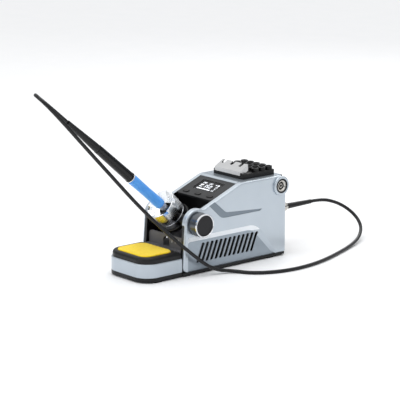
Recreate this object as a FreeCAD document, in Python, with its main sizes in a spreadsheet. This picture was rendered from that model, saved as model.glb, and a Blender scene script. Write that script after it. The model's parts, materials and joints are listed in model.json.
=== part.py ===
import FreeCAD, Part
import math
import os
import re

import Sketcher

# A bench soldering station: a low sponge tray in front, two sculpted side shells that carry a tilting
# chrome iron holder, a sloping control panel, and a rack for spare tips on the deck behind it.
# +Z is up, the tray points along -Y, and +X is the user's right. The origin is the middle of the
# underside, on the table.

# ---- Driving sizes, in millimetres and degrees ----------------------------------------------------
SIZES = {
    # the housing
    "half_width": (46, "mid plane to the outer face of a side shell"),
    "deck_height": (118, "table to the deck"),
    "body_back": (125, "origin back to the rear panel's outer face"),
    "shell_front": (67, "origin forward to the lower front corner of the side shells"),
    "shell_rake": (6, "how far their front edge leans back over its height"),
    "foot_thick": (2, "rubber under the base cover"),
    "pan_thick": (3.5, "base cover"),
    "gap": (0.3, "clearance between pieces that only pass each other"),
    "running": (0.05, "radial clearance of a shaft that turns"),
    # the side shells
    "shell_thick": (8, "full depth of a side shell"),
    "skin": (2.4, "wall behind its hollows"),
    "slope": (21.5, "fall of the control panel, in degrees"),
    "slope_end": (41, "origin back to where the slope meets the deck"),
    "ear_radius": (21, "round ear at the tilt pivot"),
    "back_corner": (11, "round at the top rear of the side shells"),
    "ledge_high": (55, "top of the bright ledge over the vents"),
    "ledge_low": (47, "bottom of that ledge"),
    "vent_depth": (3, "how far the vent panel stands back"),
    "slot_width": (4.6, "a vent slot, measured along the shell"),
    "slot_pitch": (8.3, "vent slot spacing"),
    "slot_count": (13, "vent slots in each shell"),
    "slot_top": (43, "top of the vent slots"),
    "slot_bottom": (16, "bottom of the vent slots"),
    "slot_lean": (11, "how far a slot leans back over its height"),
    "slot_start": (41, "origin forward to the foot of the first slot"),
    "band_depth": (0.9, "the sunk grey band on the upper shell"),
    # the sponge tray
    "tray_front": (133, "origin forward to the tray's nose"),
    "tray_step": (1.5, "tray side inside the side shell's face"),
    "tray_corner": (23, "plan radius of the tray's front corners"),
    "tray_wall": (2.5, "tray shell wall"),
    "tray_low": (7.5, "table to the tray shell's lower edge"),
    "tray_rim": (26.6, "table to the tray's silver rim"),
    "insert_inset": (1.8, "tray insert inside the tray's outline"),
    "insert_top": (35.5, "table to the top of the tray insert"),
    "insert_round": (4.4, "round along the insert's upper edge"),
    "well_border": (8.8, "insert rim at the sponge's sides"),
    "well_front": (6.7, "insert rim before the sponge"),
    "well_back": (5.2, "insert rim behind the sponge"),
    "sponge_thick": (8.2, "damp cleaning sponge"),
    "sponge_proud": (1.4, "sponge above the insert"),
    "sponge_corner": (12, "sponge corners"),
    # the recess between the shells, behind the sponge
    "wall_back": (8, "lower front corner of the shells back to the recess's front wall"),
    "wall_thick": (2.5, "that wall"),
    "wall_top": (52, "table to its top, under the swing of the holder"),
    "wall_slot": (7, "half the width of its arched slot"),
    # the tilt pivot and the iron holder
    "pivot_forward": (41, "origin forward to the tilt axis"),
    "pivot_height": (72, "table to the tilt axis"),
    "tilt": (40.5, "rise of the resting iron, in degrees"),
    "pin_radius": (4, "pivot pins"),
    "holder_radius": (21.5, "chrome tube"),
    "holder_wall": (1.4, "chrome tube wall"),
    "holder_tail": (22, "pivot to the closed end of the tube"),
    "crown_start": (22, "pivot to the crown ring"),
    "crown_end": (38, "pivot to the mouth"),
    "crown_proud": (0.6, "crown ring outside the tube"),
    "crown_lip": (20.9, "inside of the crown at its mouth"),
    "throat_radius": (9.4, "narrow end of the crown's funnel"),
    "throat_start": (26, "pivot to the narrow end of that funnel"),
    "yoke_thick": (1, "saddle ring around the tube"),
    "yoke_length": (5, "saddle ring along the tube"),
    "trunnion_radius": (10, "bosses that reach the side shells"),
    "washer_thick": (1, "friction washers"),
    "knob_radius": (16.5, "tilt lock knob"),
    "knob_length": (16.5, "knob, out from the side shell"),
    "knob_ring": (2, "polished ring around the knob's face"),
    # the iron
    "grip_radius": (7.4, "silicone grip"),
    "grip_start": (36, "pivot to the front of the grip"),
    "grip_end": (105.5, "pivot to the grip's rear"),
    "barrel_end": (179, "pivot to the rear of the black barrel"),
    "boot_end": (243, "pivot to the end of the cord boot"),
    "barrel_radius": (7.1, "barrel at the grip"),
    "barrel_rear": (6.2, "barrel at the boot"),
    "boot_radius": (5.7, "boot at the barrel"),
    "boot_tail": (3.4, "boot at the cord"),
    "core_radius": (5, "steel tube inside the handle"),
    "core_wall": (0.8, "that tube's wall"),
    "collar_radius": (5.4, "steel collar in front of the grip"),
    "cartridge_radius": (3.2, "heater cartridge"),
    "tip_reach": (15, "pivot down to the point of the tip"),
    "cord_radius": (2.5, "silicone cord"),
    # the control panel
    "fascia_start": (5, "top corner of the slope to the fascia"),
    "fascia_length": (48.4, "fascia along the slope"),
    "fascia_thick": (3, "fascia"),
    "window_width": (46, "display opening across"),
    "window_length": (24, "display opening along the slope"),
    "window_start": (7, "fascia's top edge to the opening"),
    "window_thick": (1.2, "clear window"),
    "button_spacing": (25.5, "between button centres"),
    "button_from_edge": (8, "button centres to the fascia's lower edge"),
    "button_width": (12, "oval button across"),
    "button_length": (6, "oval button along the slope"),
    "button_proud": (1, "button above the fascia"),
    # the deck
    "deck_thick": (3, "silver deck"),
    "rack_side": (14, "side shell's face to the side of the rack"),
    "rack_start": (55, "origin back to the front of the rack"),
    "rack_end": (115.5, "origin back to the rear of the rack"),
    "rack_thick": (7.5, "rack above the deck"),
    "bush_rise": (5, "tip bushes above the rack"),
    "bush_radius": (5.4, "tip bushes"),
    "bush_bore": (3.4, "hole for a spare tip"),
    "bush_columns": (5, "tip bushes across"),
    "bush_rows": (3, "rows of tip bushes"),
    "plate_half": (27, "half the tip puller plate's width"),
    "plate_thick": (1.4, "stainless sheet"),
    "plate_rise": (19.5, "rack's base to the plate's top edge"),
    "plate_reach": (14, "the plate's front edge to its top edge"),
    "notch_width": (6, "U notches in the plate"),
    # the rear
    "panel_thick": (2.7, "rear panel"),
    "socket_height": (57, "table to the iron's socket"),
    "socket_radius": (8.6, "iron's socket"),
    "plug_length": (40, "plug shell"),
    "plug_radius": (8, "plug shell"),
    "plug_boot_end": (218, "origin back to the end of the plug's boot"),
    "plug_boot_radius": (4.2, "plug's boot at the plug"),
    "plug_boot_tail": (3.2, "plug's boot at the cord"),
    "inlet_height": (27, "table to the mains inlet"),
    "switch_height": (92, "table to the mains switch"),
    "rocker_tip": (7, "lean of the switch's rocker, in degrees"),
    "rocker_axle": (1.2, "the rocker's axle"),
    "jack_back": (114.4, "origin back to the earth jack"),
    "jack_height": (103.6, "table to the earth jack"),
    "jack_boss": (14, "boss around the earth jack"),
    "jack_proud": (3, "boss out of the side shell"),
    "jack_shank": (6.2, "the jack's threaded shank"),
    "jack_nut": (7.6, "the jack's ring nut"),
    "panel_screw_low": (27.5, "table to the rear panel's lower screws"),
    "panel_screw_high": (84, "table to its upper screws"),
    # inside
    "board_thick": (1.6, "circuit boards"),
    "board_height": (14, "table to the main board"),
}

doc = FreeCAD.newDocument("soldering_station")
sheet = doc.addObject("Spreadsheet::Sheet", "sizes")
for row, (alias, (number, note)) in enumerate(SIZES.items(), start=1):
    sheet.set(f"A{row}", str(number))
    sheet.set(f"B{row}", alias.replace("_", " "))
    sheet.set(f"C{row}", note)
    sheet.setAlias(f"A{row}", alias)
doc.recompute()

# Names for places that several pieces share, written out wherever a formula uses them.
PLACES = {
    "base_top": "(foot_thick + pan_thick)",
    "inner_face": "(half_width - shell_thick)",
    "tray_half": "(half_width - tray_step)",
    "insert_half": "(half_width - tray_step - insert_inset)",
    "insert_nose": "(tray_front - insert_inset)",
    "tray_back": "(shell_front + 2*gap)",
    "fascia_end": "(fascia_start + fascia_length)",
    "rack_top": "(deck_height + rack_thick)",
    "rack_half": "(half_width - rack_side)",
    "panel_front": "(body_back - panel_thick)",
    "bulkhead": "(slope_end - 38)",
    "button_down": "(fascia_start + fascia_length - button_from_edge)",
    "window_centre": "(fascia_start + window_start + window_length/2)",
}
WORD = re.compile(r"[a-z][a-z_]*")


def bound(formula):
    """A formula with its shared places written out and its size names pointed at the sheet."""
    written_out = WORD.sub(lambda word: PLACES.get(word[0], word[0]), str(formula))
    return WORD.sub(lambda word: "sizes." + word[0] if word[0] in SIZES else word[0], written_out)


def value(formula):
    """What a formula comes to with the sheet's present sizes."""
    return float(sheet.evalExpression(WORD.sub(lambda word: PLACES.get(word[0], word[0]), str(formula))))


def on_slope(down, under):
    """A point beside the slope: so far down it from the deck's corner, and so far under its surface."""
    y = f"slope_end - ({down})*cos(slope) + ({under})*sin(slope)"
    z = f"deck_height - ({down})*sin(slope) - ({under})*cos(slope)"
    return y, z


# ---- Places that pieces are set down in -----------------------------------------------------------
ALONG_X = "rotation(vector(0; 1; 0); 90)"
ALONG_Y = "rotation(vector(1; 0; 0); -90)"
ON_IRON = "placement(vector(0; -pivot_forward; pivot_height); rotation(vector(1; 0; 0); 90 - tilt))"
ON_SLOPE = "placement(vector(0; slope_end; deck_height); rotation(vector(1; 0; 0); slope))"
ON_PIVOT = f"placement(vector(0; -pivot_forward; pivot_height); {ALONG_X})"
ON_JACK = f"placement(vector(0; jack_back; jack_height); {ALONG_X})"
ON_SOCKET = f"placement(vector(0; 0; socket_height); {ALONG_Y})"
ON_ROCKER = "placement(vector(0; body_back; switch_height); rotation(vector(1; 0; 0); rocker_tip))"

POINTS_ALONG_AXIS = {"XY_Plane": True, "YZ_Plane": True, "XZ_Plane": False}
EXPORTED = []


class Piece:
    """One sub-part, made as a PartDesign body."""

    def __init__(self, label, place=None, kept=True):
        self.body = doc.addObject("PartDesign::Body", label)
        self.body.Label = label
        if place:
            self.body.setExpression("Placement", bound(place))
        if kept:
            EXPORTED.append(self.body)

    def _sketch(self, plane, offset):
        sketch = self.body.newObject("Sketcher::SketchObject", "sketch")
        role = next(part for part in self.body.Origin.OriginFeatures if part.Role == plane)
        sketch.AttachmentSupport = (role, [""])
        sketch.MapMode = "FlatFace"
        sketch.setExpression("AttachmentOffset.Base.z", bound(offset))
        return sketch

    def _fix(self, sketch, kind, geometry, end, formula):
        number = sketch.addConstraint(Sketcher.Constraint(kind, -1, 1, geometry, end, value(formula)))
        sketch.setExpression(f"Constraints[{number}]", bound(formula))

    def _draw(self, sketch, outline, circles):
        """A closed outline of (x, y) or (x, y, corner radius) formulas, and circles of (x, y, radius)."""
        if outline:
            spots = [FreeCAD.Vector(value(corner[0]), value(corner[1]), 0) for corner in outline]
            following = spots[1:] + spots[:1]
            lines = [sketch.addGeometry(Part.LineSegment(a, b)) for a, b in zip(spots, following)]
            for line, after in zip(lines, lines[1:] + lines[:1]):
                sketch.addConstraint(Sketcher.Constraint("Coincident", line, 2, after, 1))
            for line, corner in zip(lines, outline):
                self._fix(sketch, "DistanceX", line, 1, corner[0])
                self._fix(sketch, "DistanceY", line, 1, corner[1])
            for line, corner in zip(lines, outline):
                if len(corner) == 3:
                    sketch.fillet(line, 1, value(corner[2]), True, True)
                    arc = max(i for i,
                              drawn in enumerate(sketch.Geometry) if drawn.TypeId == "Part::GeomArcOfCircle")
                    number = sketch.addConstraint(Sketcher.Constraint("Radius", arc, value(corner[2])))
                    sketch.setExpression(f"Constraints[{number}]", bound(corner[2]))
        for x, y, radius in circles:
            centre = FreeCAD.Vector(value(x), value(y), 0)
            ring = sketch.addGeometry(Part.Circle(centre, FreeCAD.Vector(0, 0, 1), value(radius)))
            self._fix(sketch, "DistanceX", ring, 3, x)
            self._fix(sketch, "DistanceY", ring, 3, y)
            number = sketch.addConstraint(Sketcher.Constraint("Radius", ring, value(radius)))
            sketch.setExpression(f"Constraints[{number}]", bound(radius))

    def pad(self, plane, start, end, outline=(), circles=()):
        """Material from start to end along the plane's axis."""
        forward = POINTS_ALONG_AXIS[plane]
        sketch = self._sketch(plane, start if forward else f"-({end})")
        self._draw(sketch, outline, circles)
        pad = self.body.newObject("PartDesign::Pad", "pad")
        pad.Profile = sketch
        pad.setExpression("Length", bound(f"({end}) - ({start})"))
        return self

    def pocket(self, plane, start, end, outline=(), circles=()):
        """Take away from start to end along the plane's axis."""
        forward = POINTS_ALONG_AXIS[plane]
        sketch = self._sketch(plane, end if forward else f"-({start})")
        self._draw(sketch, outline, circles)
        pocket = self.body.newObject("PartDesign::Pocket", "pocket")
        pocket.Profile = sketch
        pocket.setExpression("Length", bound(f"({end}) - ({start})"))
        self.last = pocket
        return self

    def funnel(self, plane, lofts):
        """Take away a tapered recess between two outlines, each given with its place along the axis."""
        sketches = []
        for offset, outline in lofts:
            sketch = self._sketch(plane, offset)
            self._draw(sketch, outline, ())
            sketches.append(sketch)
        loft = self.body.newObject("PartDesign::SubtractiveLoft", "funnel")
        loft.Profile = sketches[0]
        loft.Sections = sketches[1:]
        loft.Ruled = True
        return self

    def turn(self, profile):
        """Revolve a half section of (radius, along) formulas about the piece's own Z."""
        sketch = self._sketch("XZ_Plane", "0")
        self._draw(sketch, profile, ())
        turned = self.body.newObject("PartDesign::Revolution", "turn")
        turned.Profile = sketch
        turned.ReferenceAxis = (sketch, ["V_Axis"])
        turned.Angle = 360
        return self

    def repeat_round(self, count):
        """Repeat the last pocket around the piece's own Z."""
        pattern = self.body.newObject("PartDesign::PolarPattern", "around")
        pattern.Originals = [self.last]
        axis = next(part for part in self.body.Origin.OriginFeatures if part.Role == "Z_Axis")
        pattern.Axis = (axis, [""])
        pattern.Angle = 360
        pattern.Occurrences = count
        self.body.Tip = pattern
        return self

    def repeat_along(self, role, pitch, count):
        """Repeat the last pocket along one of the piece's own axes."""
        pattern = self.body.newObject("PartDesign::LinearPattern", "along")
        pattern.Originals = [self.last]
        axis = next(part for part in self.body.Origin.OriginFeatures if part.Role == role)
        pattern.Direction = (axis, [""])
        pattern.setExpression("Length", bound(f"({pitch})*({count} - 1)"))
        pattern.setExpression("Occurrences", bound(count))
        self.body.Tip = pattern
        return self

    def round_edges(self, radius, test):
        doc.recompute()
        base = self.body.Tip
        names = [f"Edge{i}" for i, edge in enumerate(base.Shape.Edges, start=1) if test(edge)]
        if not names:
            raise RuntimeError(f"{self.body.Label}: no edge to round")
        rounded = self.body.newObject("PartDesign::Fillet", "edges")
        rounded.Base = (base, names)
        rounded.setExpression("Radius", bound(radius))
        return self


def flat_at(axis, formula):
    """A test for edges that lie wholly in one plane across an axis (0, 1 or 2) of the piece."""
    level = value(formula)
    return lambda edge: all(abs(spot.Point[axis] - level) < 0.02 for spot in edge.Vertexes)


def along(axis):
    """A test for straight edges that run along an axis of the piece."""
    def test(edge):
        if len(edge.Vertexes) != 2:
            return False
        run = edge.Vertexes[1].Point - edge.Vertexes[0].Point
        return edge.Curve.TypeId == "Part::GeomLine" and abs(run[axis]) > 0.999*run.Length
    return test


def rectangle(x0, x1, y0, y1, *corner):
    """The four corners of an outline, all with the same corner radius, if one is given."""
    return [(x0, y0, *corner), (x1, y0, *corner), (x1, y1, *corner), (x0, y1, *corner)]


def centred(half_x, half_y, *corner):
    return rectangle(f"-({half_x})", half_x, f"-({half_y})", half_y, *corner)


def group(label, members):
    """Several identical pieces in one node."""
    compound = doc.addObject("Part::Compound", label)
    compound.Label = label
    compound.Links = members
    EXPORTED.append(compound)
    return compound


def screw(place, length, shank="1.5", head="2.8"):
    """A pan head screw whose head stands on z = 0 of its place and whose shank points down."""
    made = Piece("screw", place, kept=False)
    made.turn([("0", f"-({length})"), (shank, f"-({length})"), (shank, "0"), (head, "0"), (head, "1.6"),
               ("0", "1.6")])
    made.pocket("XY_Plane", "0.6", "1.7", outline=centred("1.6", "0.35"))
    made.pocket("XY_Plane", "0.6", "1.7", outline=centred("0.35", "1.6"))
    return made.body


def boolean(kind, label, base, tool, kept=True):
    joined = doc.addObject(kind, label)
    joined.Label = label
    joined.Base = base
    joined.Tool = tool
    if base in EXPORTED:
        EXPORTED.remove(base)
    if kept:
        EXPORTED.append(joined)
    return joined


# ---- Base ---------------------------------------------------------------------------------------
SCREW_SPOTS = [
    (side, y)
    for side in (1, -1)
    for y in ("bulkhead + 8", "panel_front - 12", "-(tray_front - 34)")
]
SCREW_IN = "(inner_face - gap - skin - 4.2)"


def tray_outline(half, nose, back, corner):
    """The tray's plan: square behind, well rounded in front."""
    return [(f"-({half})", f"-({back})"), (f"-({half})", f"-({nose})", corner),
            (half, f"-({nose})", corner), (half, f"-({back})")]


def make_base():
    cover = Piece("base_cover")
    cover.pad("XY_Plane", "foot_thick", "base_top", outline=[
        ("-(half_width - 0.8)", "body_back", "3"),
        ("-(half_width - 0.8)", "-shell_front"),
        ("-tray_half", "-shell_front"),
        ("-tray_half", "-tray_front", "tray_corner"),
        ("tray_half", "-tray_front", "tray_corner"),
        ("tray_half", "-shell_front"),
        ("half_width - 0.8", "-shell_front"),
        ("half_width - 0.8", "body_back", "3"),
    ])
    cover.pad("XY_Plane", "foot_thick", "tray_low",
              outline=tray_outline("tray_half", "tray_front", "tray_back", "tray_corner"))
    spots = [(f"{side}*{SCREW_IN}", y) for side, y in SCREW_SPOTS]
    cover.pocket("XY_Plane", "foot_thick", "tray_low", circles=[(x, y, "1.7") for x, y in spots])
    cover.pocket("XY_Plane", "foot_thick", "foot_thick + 1.8", circles=[(x, y, "3.1") for x, y in spots])

    feet = Piece("foot_frame")
    feet.pad("XY_Plane", "0", "foot_thick", outline=rectangle(
        "-(half_width - 5)", "half_width - 5", "-(tray_front - 14)", "body_back - 4", "12"))
    for y in ("-(tray_front - 25)", "-(shell_front - 10)", "body_back - 27"):
        feet.pad("XY_Plane", "0", "foot_thick", outline=rectangle(
            "-(half_width - 2)", "half_width - 2", f"{y} - 6", f"{y} + 6", "2.5"))
    feet.pocket("XY_Plane", "0", "foot_thick", outline=rectangle(
        "-(half_width - 9.5)", "half_width - 9.5", "-(tray_front - 18.5)", "body_back - 8.5", "8"))

    members = []
    for side, y in SCREW_SPOTS:
        place = f"placement(vector({side}*{SCREW_IN}; {y}; foot_thick + 1.8); rotation(vector(1; 0; 0); 180))"
        members.append(screw(place, "9"))
    group("base_screws", members)


# ---- Sponge tray ----------------------------------------------------------------------------------
def make_tray():
    shell = Piece("tray_shell")
    shell.pad("XY_Plane", "tray_low", "tray_rim",
              outline=tray_outline("tray_half", "tray_front", "tray_back", "tray_corner"))
    shell.round_edges("1.2", lambda edge: flat_at(2, "tray_rim")(edge) and not flat_at(1,
                                                                                       "-tray_back")(edge))
    shell.pocket("XY_Plane", "tray_low", "tray_rim", outline=tray_outline(
        "tray_half - tray_wall", "tray_front - tray_wall", "tray_back + tray_wall",
                                                                          "tray_corner - tray_wall"))
    for side in (1, -1):
        spot = (f"{side}*{SCREW_IN}", "-(tray_front - 34)")
        shell.pad("XY_Plane", "tray_low", "tray_rim - tray_wall - 4", outline=rectangle(
            f"{side}*(tray_half - tray_wall/2)", f"{side}*({SCREW_IN} - 3)", f"{spot[1]} - 3.4",
                                                                                        f"{spot[1]} + 3.4"))
        shell.pocket("XY_Plane", "tray_low", "tray_low + 8", circles=[(*spot, "1.55")])

    insert = Piece("tray_insert")
    insert.pad("XY_Plane", "tray_rim", "insert_top",
               outline=tray_outline("insert_half", "insert_nose", "tray_back + gap",
                                    "tray_corner - insert_inset"))
    insert.round_edges("insert_round", lambda edge: flat_at(2, "insert_top")(edge))
    insert.pad("XY_Plane", "tray_rim - 3.5", "tray_rim + 1", outline=tray_outline(
        "tray_half - tray_wall - gap", "tray_front - tray_wall - gap", "tray_back + tray_wall + gap",
        "tray_corner - tray_wall - gap"))
    insert.pocket("XY_Plane", "insert_top + sponge_proud - sponge_thick", "insert_top + 1",
                  outline=rectangle(
        "-(insert_half - well_border + 0.6)", "insert_half - well_border + 0.6",
        "-(insert_nose - well_front + 0.6)", "-(tray_back + well_back - 0.6)", "sponge_corner + 0.6"))

    sponge = Piece("sponge")
    sponge.pad("XY_Plane", "insert_top + sponge_proud - sponge_thick + 0.1", "insert_top + sponge_proud",
               outline=rectangle("-(insert_half - well_border)", "insert_half - well_border",
                                 "-(insert_nose - well_front)", "-(tray_back + well_back)",
                                 "sponge_corner"))
    sponge.round_edges("1.2", flat_at(2, "insert_top + sponge_proud"))

    floor = Piece("recess_floor")
    floor.pad("XY_Plane", "insert_top - 3.5", "insert_top - 1", outline=rectangle(
        "-(inner_face - gap)", "inner_face - gap", "-(shell_front - 1)", "bulkhead - gap"))
    for side in (1, -1):
        floor.pad("XY_Plane", "base_top", "insert_top - 3.5", outline=rectangle(
            f"{side}*(inner_face - gap)", f"{side}*(inner_face - gap - skin)", "-(shell_front - 8)",
                                                                                "bulkhead - 4"))
    # its front wall stands under the holder, with an arched slot in the middle
    front = "-(shell_front - wall_back)"
    back = "-(shell_front - wall_back - wall_thick)"
    floor.pad("XZ_Plane", front, back, outline=[
        ("-(inner_face - gap)", "insert_top - 3"), ("inner_face - gap", "insert_top - 3"),
        ("inner_face - gap", "wall_top", "6"), ("-(inner_face - gap)", "wall_top", "6")])
    floor.pocket("XZ_Plane", front, back, outline=[
        ("-wall_slot", "insert_top - 1"), ("wall_slot", "insert_top - 1"),
        ("wall_slot", "wall_top - 3", "wall_slot - 0.1"),
                                                   ("-wall_slot", "wall_top - 3", "wall_slot - 0.1")])


# ---- Side shells ----------------------------------------------------------------------------------
def make_side_shells():
    blank = Piece("side_shell_blank", kept=False)
    blank.pad("YZ_Plane", "inner_face", "half_width", outline=[
        ("-shell_front", "base_top", "8"),
        ("body_back", "base_top", "2"),
        ("body_back", "deck_height", "back_corner"),
        ("slope_end", "deck_height", "25"),
        ("-(shell_front - shell_rake)", "deck_height - (slope_end + shell_front - shell_rake)*tan(slope)",
         "8"),
    ])
    blank.pad("YZ_Plane", "inner_face", "half_width",
              circles=[("-pivot_forward", "pivot_height", "ear_radius")])
    pivot_y = value("-pivot_forward")
    pivot_z = value("pivot_height")
    ear = value("ear_radius")

    def behind_the_ear(edge):
        middle = edge.CenterOfMass
        on_ear = abs(math.hypot(middle.y - pivot_y, middle.z - pivot_z) - ear) < 0.05
        return along(0)(edge) and on_ear and middle.z > pivot_z + 4 and middle.y > pivot_y
    blank.round_edges("7", behind_the_ear)

    def outer_rim(edge):
        return flat_at(0, "half_width")(edge) and edge.BoundBox.ZMax > value("base_top + 1")
    blank.round_edges("2.2", outer_rim)
    # the vent panel stands back below a sloping ledge and ends in a long arc towards the rear foot
    blank.funnel("YZ_Plane", [
        ("half_width + 0.01", [("-(shell_front - 9)", "foot_thick"), ("body_back - 13", "foot_thick"),
                               ("slope_end + 28", "ledge_high", "30"),
                               ("-(shell_front - 9)", "ledge_high", "4")]),
        ("half_width - vent_depth", [("-(shell_front - 11)", "foot_thick"), ("body_back - 19", "foot_thick"),
                                     ("slope_end + 22", "ledge_low", "24"),
                                     ("-(shell_front - 11)", "ledge_low", "4")]),
    ])
    # a sunk band sweeps down from the slope and fades out along the shell
    blank.pocket("YZ_Plane", "half_width - band_depth", "half_width + 1", outline=[
        ("slope_end + 38", "pivot_height + 3.6"),
        ("slope_end - 30", "pivot_height + 8.5", "14"),
        ("-14", "pivot_height + 30"),
        ("-24", "pivot_height + 26"),
        ("slope_end - 38", "pivot_height + 1", "16"),
        ("slope_end + 34", "pivot_height + 1"),
    ])
    # hollows on the inner side, round the solid ear and behind the vents
    blank.pocket("YZ_Plane", "inner_face", "half_width - vent_depth - skin", outline=[
        ("-(shell_front - 10)", "base_top + 4", "3"),
        ("body_back - 7", "base_top + 4", "3"),
        ("body_back - 7", "ledge_low - 1", "3"),
        ("-(shell_front - 10)", "ledge_low - 1", "3"),
    ])
    blank.pocket("YZ_Plane", "inner_face", "half_width - skin - band_depth", outline=[
        ("0", "ledge_high + 4", "3"),
        ("body_back - 24", "ledge_high + 4", "3"),
        ("body_back - 24", "deck_height - 6", "3"),
        ("slope_end + 2", "deck_height - 6", "10"),
        ("0", "deck_height - 6 - (slope_end + 2)*tan(slope)", "3"),
    ])
    blank.pocket("YZ_Plane", "inner_face - 1", "half_width + 1",
                 circles=[("-pivot_forward", "pivot_height", "pin_radius + running")])
    blank.pocket("YZ_Plane", "half_width - 1.5", "half_width + 1",
                 circles=[("-pivot_forward", "pivot_height", "knob_radius + 1.2")])
    blank.pocket("YZ_Plane", "inner_face - 1", "half_width + 1", outline=[
        ("-slot_start", "slot_bottom", "1.4"),
        ("-slot_start + slot_width", "slot_bottom", "1.4"),
        ("-slot_start + slot_width + slot_lean", "slot_top", "1.4"),
        ("-slot_start + slot_lean", "slot_top", "1.4"),
    ])
    blank.repeat_along("Y_Axis", "slot_pitch", "slot_count")

    boss = Piece("jack_boss_blank", ON_JACK, kept=False)
    boss.turn([("0", "inner_face"), ("jack_boss", "inner_face"),
               ("jack_boss", "half_width + jack_proud", "1.2"),
               ("0", "half_width + jack_proud")])
    bore = Piece("jack_bore", ON_JACK, kept=False)
    bore.turn([("0", "inner_face - 1"), ("jack_shank + 0.1", "inner_face - 1"),
               ("jack_shank + 0.1", "half_width - 1"),
               ("8.4", "half_width - 1"), ("8.4", "half_width + 4"), ("0", "half_width + 4")])
    with_boss = boolean("Part::Fuse", "shell_with_boss", blank.body, boss.body, kept=False)
    boolean("Part::Cut", "right_side_shell", with_boss, bore.body)
    left = doc.addObject("Part::Mirroring", "left_side_shell")
    left.Label = "left_side_shell"
    left.Source = blank.body
    left.Base = (0, 0, 0)
    left.Normal = (1, 0, 0)
    EXPORTED.append(left)

    jack = Piece("earth_jack", ON_JACK)
    jack.turn([("2", "inner_face - 9"), ("jack_shank", "inner_face - 9"),
               ("jack_shank", "half_width - 0.9"),
               ("8.2", "half_width - 0.9"), ("8.2", "half_width + jack_proud - 0.6", "0.5"),
               ("6.6", "half_width + jack_proud - 0.6"), ("5", "half_width + jack_proud - 2.4"),
               ("2", "half_width + jack_proud - 2.4")])
    nut = Piece("earth_jack_nut", ON_JACK)
    nut.turn([("jack_shank + 0.1", "inner_face - 4"), ("jack_nut", "inner_face - 4"),
              ("jack_nut", "inner_face - 0.05"),
              ("jack_shank + 0.1", "inner_face - 0.05")])


# ---- Housing between the side shells --------------------------------------------------------------
def make_housing():
    inner = Piece("inner_housing")
    half = "inner_face - gap"
    front_top = on_slope("fascia_end", "fascia_thick")
    inner.pad("YZ_Plane", f"-({half})", half, outline=[
        ("bulkhead", "base_top"), ("panel_front", "base_top"),
        ("panel_front", "deck_height - deck_thick"),
        on_slope("deck_thick*tan(slope/2)", "deck_thick"), front_top, ("bulkhead", "pivot_height - 8")])
    inner.pocket("YZ_Plane", f"-({half} - skin)", f"{half} - skin", outline=[
        ("bulkhead + skin", "base_top - 1"), ("panel_front + 1", "base_top - 1"),
        ("panel_front + 1", "deck_height - deck_thick - skin"),
        on_slope("-deck_thick", "deck_thick + skin"), on_slope("fascia_end - 4", "fascia_thick + skin"),
        ("bulkhead + skin", "pivot_height - 8")])
    for side in (1, -1):
        for y in ("bulkhead + 8", "panel_front - 12"):
            inner.pad("XY_Plane", "base_top", "base_top + 14", outline=rectangle(
                f"{side}*({half} - skin/2)", f"{side}*({SCREW_IN} - 3)", f"{y} - 3.6", f"{y} + 3.6"))
            inner.pocket("XY_Plane", "base_top", "base_top + 9",
                         circles=[(f"{side}*{SCREW_IN}", y, "1.55")])
        for z in ("panel_screw_low", "panel_screw_high"):
            inner.pad("XZ_Plane", "panel_front - 10", "panel_front", outline=rectangle(
                f"{side}*({half} - skin/2)", f"{side}*({half} - skin - 6)", f"{z} - 3", f"{z} + 3"))
            inner.pocket("XZ_Plane", "panel_front - 7", "panel_front",
                         circles=[(f"{side}*({half} - skin - 3)", z, "1.3")])

    # a notch in the right wall lets the earth jack's shank and nut through
    inner.pocket("YZ_Plane", f"{half} - skin - 1", f"{half} + 1", outline=rectangle(
        "jack_back - jack_nut - gap", "panel_front + 1",
        "jack_height - jack_nut - gap", "jack_height + jack_nut + gap"))

    deck = Piece("top_deck")
    deck.pad("YZ_Plane", f"-({half})", half, outline=[
        on_slope("fascia_start - gap", "0"), ("slope_end", "deck_height"),
        ("panel_front - gap", "deck_height"), ("panel_front - gap", "deck_height - deck_thick"),
        on_slope("deck_thick*tan(slope/2)", "deck_thick"), on_slope("fascia_start - gap", "deck_thick")])

    panel = Piece("rear_panel")
    panel.pad("XZ_Plane", "panel_front", "body_back", outline=rectangle(
        f"-({half})", half, "base_top", "deck_height - 1", "1.5"))
    panel.pocket("XZ_Plane", "panel_front - 1", "body_back + 1", circles=[("0", "socket_height", "7.8")])
    panel.pocket("XZ_Plane", "panel_front - 1", "body_back + 1",
                 outline=rectangle("-13.8", "13.8", "inlet_height - 10.3", "inlet_height + 10.3", "3"))
    panel.pocket("XZ_Plane", "panel_front - 1", "body_back + 1",
                 outline=rectangle("-9.7", "9.7", "switch_height - 6.6", "switch_height + 6.6"))
    corners = [(f"{side}*({half} - skin - 3)", z)
               for side in (1, -1) for z in ("panel_screw_low", "panel_screw_high")]
    panel.pocket("XZ_Plane", "panel_front - 1", "body_back + 1",
                 circles=[(x, z, "1.4") for x, z in corners])
    group("rear_panel_screws", [
        screw(f"placement(vector({x}; body_back; {z}); {ALONG_Y})", "8", shank="1.25", head="2.4")
        for x, z in corners])


# ---- Control panel --------------------------------------------------------------------------------
def button_outline(x, grow):
    return rectangle(f"{x} - button_width/2 - {grow}", f"{x} + button_width/2 + {grow}",
                     f"-button_down - button_length/2 - {grow}", f"-button_down + button_length/2 + {grow}",
                     f"button_length/2 + {grow} - 0.02")


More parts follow.
